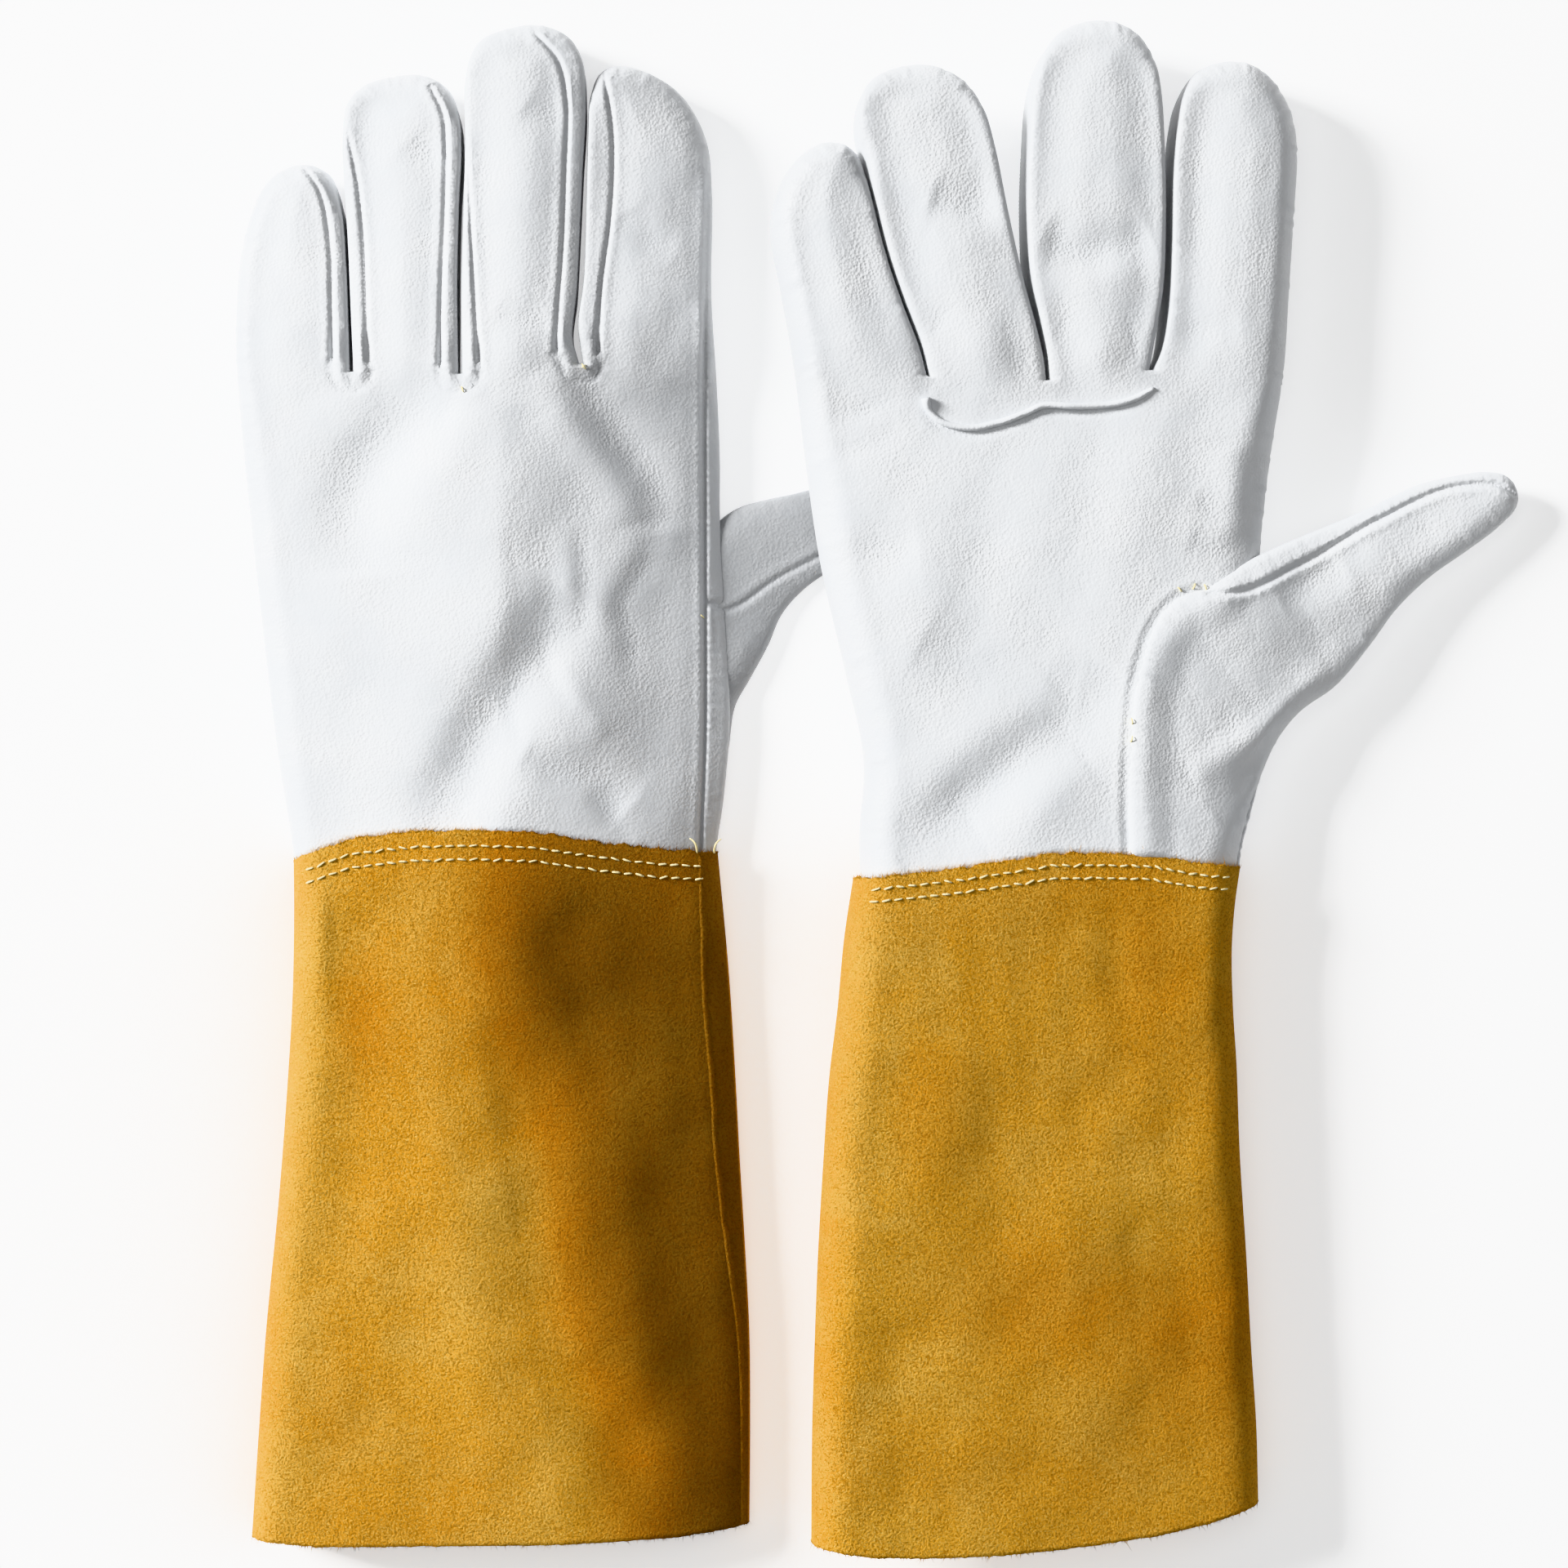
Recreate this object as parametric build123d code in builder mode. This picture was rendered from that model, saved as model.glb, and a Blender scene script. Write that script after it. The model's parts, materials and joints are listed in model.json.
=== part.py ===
from build123d import *
from math import cos, radians, sin
import os

os.makedirs("parts", exist_ok=True)

# Driving dimensions, in millimetres and degrees.
leather = 1.3            # grain leather of the hand and fingers
suede = 1.6              # split leather of the cuff
hand_height = 22.0       # empty hand, from the palm face to the back face
finger_height = 21.0     # empty finger stall
cuff_height = 23.0       # empty cuff, palm face to back face
cuff_side_radius = 9.0   # rounding of the cuff's long folded edges
tuck_depth = 1.8         # how far the hand steps inward where it enters the cuff
tuck_end = -34.0         # y where the tucked end of the hand stops
hinge_gap = 0.5          # room between a finger stall and the hand
seam_gap = 0.3           # room between two panels of one glove
welt_width = 3.0         # finger-base welt
welt_depth = 2.2
cuff_welt_width = 2.4    # raised closing seam of the cuff
cuff_welt_height = 1.0
stitch_length = 2.3
stitch_pitch = 3.0
stitch_width = 1.0
row_offsets = (4.2, 7.6)      # rows of stitches below the cuff's top edge
right_tilt = 6.0              # the right glove leans on the left glove's thumb
right_rest_x = 113.0          # line on the ground about which it leans
right_shift = -1.2            # puts the raised palm back over its outline
pair_middle = (-0.026, 0.322)  # brings the middle of the pair's box to the origin


class Finger:
    """A tapered stall with a round tip, placed by the middle of its base."""

    def __init__(self, name, x, y, lean, length, base_width, tip_width):
        self.name = name
        self.x, self.y, self.lean = x, y, lean
        self.length, self.base_width, self.tip_width = length, base_width, tip_width


class Glove:
    """One glove, drawn fingers up and thumb to the right, in its own plane."""

    def __init__(self, side, base, palm_up):
        self.side, self.base, self.palm_up = side, base, palm_up

    def level(self, depth, thickness, x=0, y=0, turn=0):
        """Plane under a layer that starts this deep from the palm face."""
        height = hand_height - depth - thickness if self.palm_up else depth
        return Plane(self.base.location * Location((x, y, height), (0, 0, turn)))


left = Glove("left", Plane(origin=(*pair_middle, 0)), palm_up=False)
left.fingers = [
    Finger("little", -154.9, 104.5, -2.3, 58.5, 29.6, 25.0),
    Finger("ring", -124.7, 104.5, -0.8, 82.2, 27.4, 28.4),
    Finger("middle", -95.0, 104.5, -1.8, 95.5, 27.8, 29.0),
    Finger("index", -61.6, 104.5, 0.8, 84.5, 33.6, 27.5),
]
left.ulnar_edge = [(-166.0, 74.0), (-161.8, 35.0), (-157.5, 4.0)]
left.radial_edge = [(-43.0, 90.0), (-43.6, 70.2)]
left.heel_edge = [(-36.4, 27.0), (-40.8, 12.0), (-43.6, -4.0)]
left.thumb_seam = [(-76.0, -40.0), (-77.0, 32.0), (-71.0, 50.0), (-60.0, 57.0), (-38.0, 60.0)]
left.thumb_place = (-39.4, 48.6, -80.5)
left.thumb_depths = (0.0, 8.4)
left.cuff_top = [(-155.0, -20.5), (-100.0, -12.5), (-42.4, -18.6)]
left.cuff_mouth = [(-165.9, -198.0), (-100.0, -200.0), (-34.4, -197.4)]

lean_sine, lean_cosine = sin(radians(right_tilt)), cos(radians(right_tilt))
right_base = Plane(
    origin=(pair_middle[0] + right_shift, pair_middle[1], right_rest_x * lean_sine),
    x_dir=(lean_cosine, 0, -lean_sine),
    z_dir=(lean_sine, 0, lean_cosine),
)
right = Glove("right", right_base, palm_up=True)
right.fingers = [
    Finger("little", -6.8, 104.0, 8.6, 63.0, 28.0, 20.0),
    Finger("ring", 27.0, 103.4, 11.5, 85.0, 27.6, 31.0),
    Finger("middle", 56.4, 104.2, 0.2, 95.6, 27.0, 31.0),
    Finger("index", 89.3, 104.0, -2.6, 85.9, 31.6, 31.0),
]
right.ulnar_edge = [(-18.9, 79.0), (-15.4, 57.0), (-9.4, 29.5), (-4.8, 8.0)]
right.radial_edge = [(103.8, 84.0), (101.2, 60.8)]
right.heel_edge = [(105.6, 15.8), (101.0, 2.6), (96.6, -8.0)]
right.thumb_seam = [(63.7, -40.0), (64.8, 27.2), (71.0, 43.0), (82.3, 50.0), (108.0, 53.0)]
right.thumb_place = (103.6, 38.3, -83.0)
right.thumb_depths = (1.8, 15.3)
right.cuff_top = [(-8.0, -25.0), (43.4, -18.4), (95.3, -22.4)]
right.cuff_mouth = [(-18.4, -198.0), (38.0, -200.0), (100.0, -188.8)]

# Outline of the empty thumb stall, from its base line: y runs out along the thumb.
thumb_base = 21.6
thumb_upper = [(-32.4, 33.0), (-36.6, 53.0)]
thumb_tip = [(-30.5, 70.0), (-17.4, 55.2)]
thumb_lower = [(-4.0, 34.0), (14.6, 15.5)]


def save(piece, name):
    """Label one finished piece and write its STEP file."""
    piece.part.label = name
    export_step(piece.part, f"parts/{name}.step")


def moved(points, x=0.0, y=0.0):
    return [(px + x, py + y) for px, py in points]


# ---- finger stalls ----


def stall_face(finger, inset, base=0.0):
    """Outline of a stall in its own frame, set in by one wall where asked."""
    half_base = finger.base_width / 2 - inset
    half_tip = finger.tip_width / 2 - inset
    shoulder = finger.length - 0.46 * finger.tip_width
    with BuildSketch() as outline:
        with BuildLine():
            Polyline(
                (-half_tip, shoulder), (-half_base, base), (half_base, base), (half_tip, shoulder)
            )
            ThreePointArc((-half_tip, shoulder), (0, finger.length - inset), (half_tip, shoulder))
        make_face()
    return outline.sketch


def side_wall(finger, side):
    """Wall strip of a stall on one side (-1 or 1) of its middle line, up to the tip."""
    with BuildSketch() as strip:
        add(stall_face(finger, 0))
        add(stall_face(finger, leather, base=-1), mode=Mode.SUBTRACT)
        with Locations((side * seam_gap / 2, 0)):
            Rectangle(
                finger.base_width * 2,
                finger.length * 3,
                align=(Align.MAX if side < 0 else Align.MIN, Align.CENTER),
                mode=Mode.INTERSECT,
            )
    return strip.sketch


def make_finger(glove, finger):
    """Back, front and side strips. The outer fingers fold one panel round their free side."""
    place = (finger.x, finger.y, finger.lean)
    wall_height = finger_height - 2 * leather
    back_folds = finger.name == "little"
    front_folds = finger.name == "index"
    label = f"{glove.side}_{finger.name}"

    with BuildPart() as back:
        with BuildSketch(glove.level(finger_height - leather, leather, *place)):
            add(stall_face(finger, 0))
        extrude(amount=leather)
        if back_folds:
            with BuildSketch(glove.level(leather, wall_height, *place)):
                add(side_wall(finger, -1))
            extrude(amount=wall_height)
    save(back, f"{label}_back")

    with BuildPart() as front:
        with BuildSketch(glove.level(0, leather, *place)):
            add(stall_face(finger, 0))
        extrude(amount=leather)
        if front_folds:
            with BuildSketch(glove.level(leather, wall_height, *place)):
                add(side_wall(finger, 1))
            extrude(amount=wall_height)
    save(front, f"{label}_front")

    strips = {"outer_fourchette": -1, "inner_fourchette": 1}
    if back_folds:
        strips = {"inner_fourchette": 1}
    if front_folds:
        strips = {"inner_fourchette": -1}
    for strip_name, side in strips.items():
        with BuildPart() as fourchette:
            with BuildSketch(glove.level(leather, wall_height, *place)):
                add(side_wall(finger, side))
            extrude(amount=wall_height)
        save(fourchette, f"{label}_{strip_name}")


# ---- hand ----


def knuckle_corners(glove):
    """The two base corners of each stall, set back by the hinge gap, little finger first."""
    corners = []
    for finger in glove.fingers:
        across = Vector(cos(radians(finger.lean)), sin(radians(finger.lean)))
        along = Vector(-across.Y, across.X)
        middle = Vector(finger.x, finger.y) - along * hinge_gap
        for side in (-1, 1):
            corner = middle + across * (side * finger.base_width / 2)
            corners.append((corner.X, corner.Y))
    return corners


def top_edge_y(glove, x):
    """Height of the cuff's arched top edge at x, as a parabola through its three points."""
    (x0, y0), (x1, y1), (x2, y2) = glove.cuff_top
    return (
        y0 * (x - x1) * (x - x2) / ((x0 - x1) * (x0 - x2))
        + y1 * (x - x0) * (x - x2) / ((x1 - x0) * (x1 - x2))
        + y2 * (x - x0) * (x - x1) / ((x2 - x0) * (x2 - x1))
    )


def wrist_points(glove, rise):
    """Ends and middle of the hand's wrist line, which follows the cuff's top edge."""
    inset = suede + seam_gap
    ulnar_x, middle_x, radial_x = (point[0] for point in glove.cuff_top)
    across = (ulnar_x + inset, middle_x, radial_x - inset)
    return [(x, top_edge_y(glove, x) + rise) for x in across]


def hand_face(glove):
    """Outline of the hand, knuckles to wrist."""
    corners = knuckle_corners(glove)
    ulnar_wrist, middle_wrist, radial_wrist = wrist_points(glove, seam_gap)
    with BuildSketch() as outline:
        with BuildLine():
            Polyline(*corners)
            Spline(corners[0], *glove.ulnar_edge, ulnar_wrist)
            ThreePointArc(ulnar_wrist, middle_wrist, radial_wrist)
            Spline(radial_wrist, *reversed(glove.heel_edge))
            Line(glove.heel_edge[0], glove.radial_edge[-1])
            Polyline(glove.radial_edge[-1], *reversed(glove.radial_edge[:-1]), corners[-1])
        make_face()
    return outline.sketch


def wrist_band(glove):
    """Band along the wrist line where the hand steps inward."""
    lower = wrist_points(glove, seam_gap)
    upper = wrist_points(glove, seam_gap + leather)
    with BuildSketch() as band:
        with BuildLine():
            ThreePointArc(*lower)
            Line(lower[2], upper[2])
            ThreePointArc(*reversed(upper))
            Line(upper[0], lower[0])
        make_face()
    return band.sketch


def tuck_face(glove):
    """The part of the hand that runs on inside the cuff."""
    left_x = glove.cuff_top[0][0] + cuff_side_radius
    right_x = glove.cuff_top[2][0] - cuff_side_radius
    wrist = moved(glove.cuff_top, y=seam_gap + leather)
    with BuildSketch() as outline:
        with BuildLine():
            ThreePointArc((left_x, wrist[0][1]), wrist[1], (right_x, wrist[2][1]))
            Polyline(
                (right_x, wrist[2][1]), (right_x, tuck_end), (left_x, tuck_end), (left_x, wrist[0][1])
            )
        make_face()
    return outline.sketch


def thumb_root_region(glove, shift):
    """Everything on the thumb's side of the curved thumb seam."""
    seam = moved(glove.thumb_seam, x=shift, y=-shift)
    far_x = seam[-1][0] + thumb_base
    with BuildSketch() as region:
        with BuildLine():
            Spline(*seam)
            Polyline(seam[-1], (far_x, seam[-1][1]), (far_x, seam[0][1]), seam[0])
        make_face()
    return region.sketch


def welt_region(glove, extra=0.0):
    """Band behind the bases of the ring and middle fingers."""
    corners = knuckle_corners(glove)[2:6]
    lower = moved(reversed(corners), y=-welt_width - extra)
    lower = [(lower[0][0] + extra, lower[0][1]), lower[1], lower[2], (lower[3][0] - extra, lower[3][1])]
    upper = moved(corners, y=extra)
    upper = [(upper[0][0] - extra, upper[0][1]), upper[1], upper[2], (upper[3][0] + extra, upper[3][1])]
    with BuildSketch() as band:
        with BuildLine():
            Polyline(*upper, *lower, close=True)
        make_face()
    return band.sketch


def edge_wall(edge, room, low_y, high_y):
    """Strip one leather thick along an edge of the hand; room is 1 if the hand lies at +X."""
    inner = moved(edge, x=room * leather)
    with BuildSketch() as wall:
        with BuildLine():
            Spline(*edge)
            Line(edge[-1], inner[-1])
            Spline(*inner)
            Line(inner[0], edge[0])
        make_face()
        with Locations((edge[0][0], (low_y + high_y) / 2)):
            Rectangle(100, high_y - low_y, mode=Mode.INTERSECT)
    return wall.sketch


def make_hand(glove):
    wall_height = hand_height - 2 * leather
    step = tuck_depth + leather
    inner_back = hand_height - tuck_depth - leather
    knuckle_y = min(y for _, y in knuckle_corners(glove)) - 3
    corners = knuckle_corners(glove)
    ulnar_wrist, _, radial_wrist = wrist_points(glove, seam_gap)
    ulnar_edge = [corners[0], *glove.ulnar_edge, ulnar_wrist]
    radial_edge = [corners[-1], *glove.radial_edge]
    heel_edge = [*glove.heel_edge, radial_wrist]
    wall_rise = 2 * leather
    crotch_y = glove.radial_edge[-1][1] + 1
    heel_y = glove.heel_edge[0][1] - 1

    with BuildPart() as back_panel:
        with BuildSketch(glove.level(hand_height - leather, leather)):
            add(hand_face(glove))
        extrude(amount=leather)
        with BuildSketch(glove.level(leather, wall_height)):
            add(edge_wall(ulnar_edge, 1, ulnar_wrist[1] + wall_rise, knuckle_y))
        extrude(amount=wall_height)
        with BuildSketch(glove.level(hand_height - step, step)):
            add(wrist_band(glove))
        extrude(amount=step)
        with BuildSketch(glove.level(inner_back, leather)):
            add(tuck_face(glove))
        extrude(amount=leather)
    save(back_panel, f"{glove.side}_back_panel")

    with BuildPart() as palm_panel:
        with BuildSketch(glove.level(0, leather)):
            add(hand_face(glove))
        extrude(amount=leather)
        with BuildSketch(glove.level(0, step)):
            add(wrist_band(glove))
        extrude(amount=step)
        with BuildSketch(glove.level(tuck_depth, leather)):
            add(tuck_face(glove))
        extrude(amount=leather)
        with BuildSketch(glove.level(0, step)):
            add(thumb_root_region(glove, -seam_gap))
        extrude(amount=step, mode=Mode.SUBTRACT)
        with BuildSketch(glove.level(0, welt_depth + seam_gap)):
            add(welt_region(glove, seam_gap))
        extrude(amount=welt_depth + seam_gap, mode=Mode.SUBTRACT)
        with BuildSketch(glove.level(0, hand_height - leather)):
            add(edge_wall(radial_edge, -1, crotch_y, knuckle_y))
        extrude(amount=hand_height - leather)
    save(palm_panel, f"{glove.side}_palm_panel")

    with BuildPart() as thumb_root:
        with BuildSketch(glove.level(0, leather)):
            add(hand_face(glove))
            add(thumb_root_region(glove, 0), mode=Mode.INTERSECT)
        extrude(amount=leather)
        with BuildSketch(glove.level(leather, wall_height)):
            add(edge_wall(heel_edge, -1, radial_wrist[1] + wall_rise, heel_y))
        extrude(amount=wall_height)
        with BuildSketch(glove.level(0, step)):
            add(wrist_band(glove))
            add(thumb_root_region(glove, 0), mode=Mode.INTERSECT)
        extrude(amount=step)
        with BuildSketch(glove.level(tuck_depth, leather)):
            add(tuck_face(glove))
            add(thumb_root_region(glove, 0), mode=Mode.INTERSECT)
        extrude(amount=leather)
    save(thumb_root, f"{glove.side}_thumb_root")

    with BuildPart() as welt:
        with BuildSketch(glove.level(0, welt_depth)):
            add(welt_region(glove))
        extrude(amount=welt_depth)
    save(welt, f"{glove.side}_finger_base_welt")


# ---- thumb ----


def inset_points(points, amount):
    """Move the points of an open outline inward, to the right of the way it runs."""
    result = []
    for before, point, after in zip(points, points[1:], points[2:]):
        chord = Vector(*after) - Vector(*before)
        inward = Vector(chord.Y, -chord.X).normalized() * amount
        result.append((point[0] + inward.X, point[1] + inward.Y))
    first = (points[0][0] + amount, points[0][1])
    last = (points[-1][0] - amount, points[-1][1])
    return [first, *result, last]


def thumb_face(inset, base=0.0):
    """Outline of the thumb stall, set in by one wall where asked."""
    points = [(-thumb_base, 0), *thumb_upper, *thumb_tip, *thumb_lower, (thumb_base, 0)]
    if inset:
        points = inset_points(points, inset)
    first_x, last_x = points[0][0], points[-1][0]
    with BuildSketch() as outline:
        with BuildLine():
            Spline(*points)
            if base:
                Polyline((last_x, 0), (last_x, base), (first_x, base), (first_x, 0))
            else:
                Line((last_x, 0), (first_x, 0))
        make_face()
    return outline.sketch


def make_thumb(glove):
    x, y, turn = glove.thumb_place
    start = hinge_gap / 2
    place = (x + start * cos(radians(turn + 90)), y + start * sin(radians(turn + 90)), turn)
    palm_depth, back_depth = glove.thumb_depths
    wall_height = back_depth - palm_depth - 2 * leather

    with BuildPart() as front:
        with BuildSketch(glove.level(palm_depth, leather, *place)):
            add(thumb_face(0))
        extrude(amount=leather)
    save(front, f"{glove.side}_thumb_front")

    with BuildPart() as back:
        with BuildSketch(glove.level(back_depth - leather, leather, *place)):
            add(thumb_face(0))
        extrude(amount=leather)
        with BuildSketch(glove.level(palm_depth + leather, wall_height, *place)):
            add(thumb_face(0))
            add(thumb_face(leather, base=-2), mode=Mode.SUBTRACT)
        extrude(amount=wall_height)
    save(back, f"{glove.side}_thumb_back")


# ---- cuff ----


def cuff_face(glove, inset, run_out=0.0):
    """Flared outline of the cuff, with its arched top edge and nearly straight mouth."""
    top = moved(glove.cuff_top, y=run_out)
    mouth = moved(glove.cuff_mouth, y=-run_out)
    with BuildSketch() as outline:
        with BuildLine():
            ThreePointArc((top[0][0] + inset, top[0][1]), top[1], (top[2][0] - inset, top[2][1]))
            Line((top[2][0] - inset, top[2][1]), (mouth[2][0] - inset, mouth[2][1]))
            ThreePointArc((mouth[2][0] - inset, mouth[2][1]), mouth[1], (mouth[0][0] + inset, mouth[0][1]))
            Line((mouth[0][0] + inset, mouth[0][1]), (top[0][0] + inset, top[0][1]))
        make_face()
    return outline.sketch


def make_cuff(glove):
    inner_height = cuff_height - 2 * suede
    inner_radius = cuff_side_radius - suede

    with BuildPart() as bore:
        with BuildSketch(glove.level(suede, inner_height)):
            add(cuff_face(glove, suede, run_out=5))
        extrude(amount=inner_height)
        ends = bore.edges().filter_by(lambda edge: edge.geom_type == GeomType.LINE and edge.length > 100)
        fillet(ends, radius=inner_radius)

    with BuildPart() as cuff:
        with BuildSketch(glove.level(0, cuff_height)):
            add(cuff_face(glove, 0))
        extrude(amount=cuff_height)
        folds = cuff.edges().filter_by(lambda edge: edge.geom_type == GeomType.LINE and edge.length > 100)
        fillet(folds, radius=cuff_side_radius)
        add(bore.part, mode=Mode.SUBTRACT)
    save(cuff, f"{glove.side}_cuff")

    side_inset = cuff_side_radius + cuff_welt_width / 2
    top_x, top_y = glove.cuff_top[2]
    mouth_x, mouth_y = glove.cuff_mouth[2]
    start = (top_x - side_inset, top_y - 1)
    end = (mouth_x - side_inset, mouth_y + 4)
    half = cuff_welt_width / 2
    with BuildPart() as cuff_welt:
        with BuildSketch(glove.level(cuff_height, cuff_welt_height)):
            with BuildLine():
                Polyline(
                    (start[0] - half, start[1]),
                    (start[0] + half, start[1]),
                    (end[0] + half, end[1]),
                    (end[0] - half, end[1]),
                    close=True,
                )
            make_face()
        extrude(amount=cuff_welt_height)
    save(cuff_welt, f"{glove.side}_cuff_seam_welt")

    first_x = glove.cuff_top[0][0] + cuff_side_radius + 1
    last_x = glove.cuff_top[2][0] - side_inset - cuff_welt_width
    count = int((last_x - first_x) / stitch_pitch)
    places = [
        (x, top_edge_y(glove, x) - row)
        for row in row_offsets
        for x in (first_x + number * stitch_pitch for number in range(count))
    ]
    with BuildPart() as stitching:
        for depth, thickness in ((0.05, 0.6), (cuff_height - 0.4, 0.8)):
            with BuildSketch(glove.level(depth, thickness)):
                with Locations(*places):
                    Rectangle(stitch_length, stitch_width, align=(Align.MIN, Align.CENTER))
            extrude(amount=thickness)
    save(stitching, f"{glove.side}_cuff_stitching")


for glove in (left, right):
    make_hand(glove)
    for finger in glove.fingers:
        make_finger(glove, finger)
    make_thumb(glove)
    make_cuff(glove)
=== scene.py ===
"""A pair of gauntlet welding gloves: white leather hands and long golden suede cuffs."""
import json
import math

import bpy
import numpy as np
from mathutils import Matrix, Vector
from mathutils.geometry import delaunay_2d_cdt


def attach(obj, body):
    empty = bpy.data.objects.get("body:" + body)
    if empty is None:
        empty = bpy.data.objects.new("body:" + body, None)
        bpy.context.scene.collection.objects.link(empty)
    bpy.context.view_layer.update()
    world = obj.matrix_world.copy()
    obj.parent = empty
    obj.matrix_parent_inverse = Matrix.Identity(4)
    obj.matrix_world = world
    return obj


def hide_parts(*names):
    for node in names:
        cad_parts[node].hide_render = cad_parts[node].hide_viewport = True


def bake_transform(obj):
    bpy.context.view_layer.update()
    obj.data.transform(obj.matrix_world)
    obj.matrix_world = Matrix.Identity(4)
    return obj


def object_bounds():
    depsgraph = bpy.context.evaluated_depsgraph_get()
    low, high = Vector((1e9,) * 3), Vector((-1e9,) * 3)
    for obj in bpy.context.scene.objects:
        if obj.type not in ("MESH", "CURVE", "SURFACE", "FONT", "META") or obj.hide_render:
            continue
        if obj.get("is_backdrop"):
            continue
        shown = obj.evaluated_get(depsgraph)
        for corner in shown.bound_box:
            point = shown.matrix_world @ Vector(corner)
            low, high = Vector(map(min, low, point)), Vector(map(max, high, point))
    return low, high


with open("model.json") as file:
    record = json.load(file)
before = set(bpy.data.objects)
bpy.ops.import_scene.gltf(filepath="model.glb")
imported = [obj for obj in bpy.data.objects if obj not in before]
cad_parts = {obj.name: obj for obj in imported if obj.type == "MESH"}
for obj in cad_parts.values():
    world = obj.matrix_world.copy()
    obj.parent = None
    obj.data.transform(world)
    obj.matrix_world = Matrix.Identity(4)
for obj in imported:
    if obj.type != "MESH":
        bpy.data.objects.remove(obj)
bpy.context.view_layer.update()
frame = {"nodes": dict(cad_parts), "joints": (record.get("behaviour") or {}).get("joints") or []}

MM = 0.001
joints = {joint["name"]: joint for joint in frame["joints"]}


# ---------------------------------------------------------------- glove patterns
# Drawing coordinates: millimetres seen from above, fingers up, thumb to the right.
# The drawing of each glove is laid over its middle finger's hinge in the frame.
# Every run is one smooth line; runs meet in the crotches between the fingers.

PATTERNS = {
    "left": {
        "hinge": (-95.0, 104.5),
        "palm_up": False,
        "runs": [
            [(-154.0, -36), (-154.8, -19), (-158.8, 7), (-164.5, 55), (-168.8, 98), (-169.8, 118),
             (-167.8, 142), (-161.5, 158), (-152.5, 163), (-145.2, 160.3), (-141.3, 150),
             (-139.9, 135), (-139.3, 119), (-139.0, 107.5)],
            [(-138.0, 107.5), (-138.8, 125), (-139.5, 142), (-140.5, 158), (-140.8, 168),
             (-139.3, 178.5), (-134, 184), (-121, 186.6), (-114, 182.8), (-110.6, 175),
             (-109.8, 166), (-110.5, 150), (-110.9, 130), (-110.6, 107)],
            [(-109.6, 107), (-109.7, 130), (-109.2, 150), (-108.8, 168), (-108.7, 184),
             (-105.5, 194.3), (-98.2, 198.6), (-90, 199.8), (-82.5, 196.8), (-78.3, 189.5),
             (-77.3, 178), (-78.2, 160), (-78.9, 145), (-79.8, 128), (-80.8, 117), (-79.2, 110)],
            [(-78.2, 110), (-79.4, 120), (-77.9, 132), (-77.3, 150), (-76.9, 166), (-76.2, 180),
             (-74, 187), (-69, 189.2), (-60.7, 187.2), (-52.5, 181.6), (-46, 170), (-44.4, 155),
             (-44.6, 130), (-43.2, 105), (-42.4, 85), (-42.4, 70), (-41, 46), (-39.8, 16),
             (-41.4, -4), (-43.4, -19), (-43.6, -36)],
        ],
        "knuckle_ends": [(-169.2, 105.0), (-43.2, 105.0)],
        "edge_heights": [-20.5, -14.6, -12.7, -12.3, -12.9, -15.4, -17.4, -18.4],
    },
    "right": {
        "hinge": (56.4, 104.2),
        "palm_up": True,
        "runs": [
            [(-4.6, -36), (-5.4, -14), (-4.3, 6), (-9.4, 30), (-15.6, 57), (-19.6, 84),
             (-22.5, 108), (-26, 128), (-28.8, 144), (-27.4, 153), (-23.5, 160.5), (-18, 165.4),
             (-12, 166.6), (-7.4, 164), (-5.4, 158.5), (-2.9, 147.6), (0.5, 135), (4.6, 123.2),
             (8.7, 112.6), (10.6, 105.5)],
            [(11.4, 105), (9.4, 113), (5, 124.5), (1, 136), (-2.4, 149), (-5.6, 162), (-7, 172),
             (-5.2, 179.5), (0, 184.6), (9.5, 187.3), (16.5, 186.1), (22.3, 181.4), (26, 174),
             (29, 163), (31.6, 150), (35.9, 131), (39.2, 119), (41.3, 110), (41.9, 104.5)],
            [(42.9, 104.5), (42.3, 111), (40.4, 120), (37.9, 131.5), (37, 150), (37.6, 168),
             (38.8, 181), (42.2, 190.5), (47.5, 196.6), (54, 199.4), (60.5, 199.6), (66.5, 196.8),
             (70.4, 190), (72.4, 180), (73.3, 165), (73.6, 150), (73, 130), (71, 117.5),
             (69.2, 107.5)],
            [(70.2, 107.5), (72.6, 113), (74.4, 124), (75.2, 140), (75.7, 160), (77, 172),
             (78.8, 180), (82.5, 186), (88, 189), (94.4, 189.8), (100.4, 187.8), (105.6, 182.5),
             (109.3, 174.5), (110.4, 166), (109.6, 150), (108.4, 132), (106.8, 108), (104, 90),
             (101.5, 70), (100.6, 60), (101, 40), (103, 20), (100.8, 2.6), (97.6, -10),
             (95.4, -19), (95, -36)],
        ],
        "knuckle_ends": [(-22.2, 105.0), (106.5, 105.0)],
        "edge_heights": [-25.0, -23.6, -22.2, -20.3, -18.3, -18.3, -18.7, -21.0, -22.2],
    },
}
FINGERS = ["little", "ring", "middle", "index"]

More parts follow.
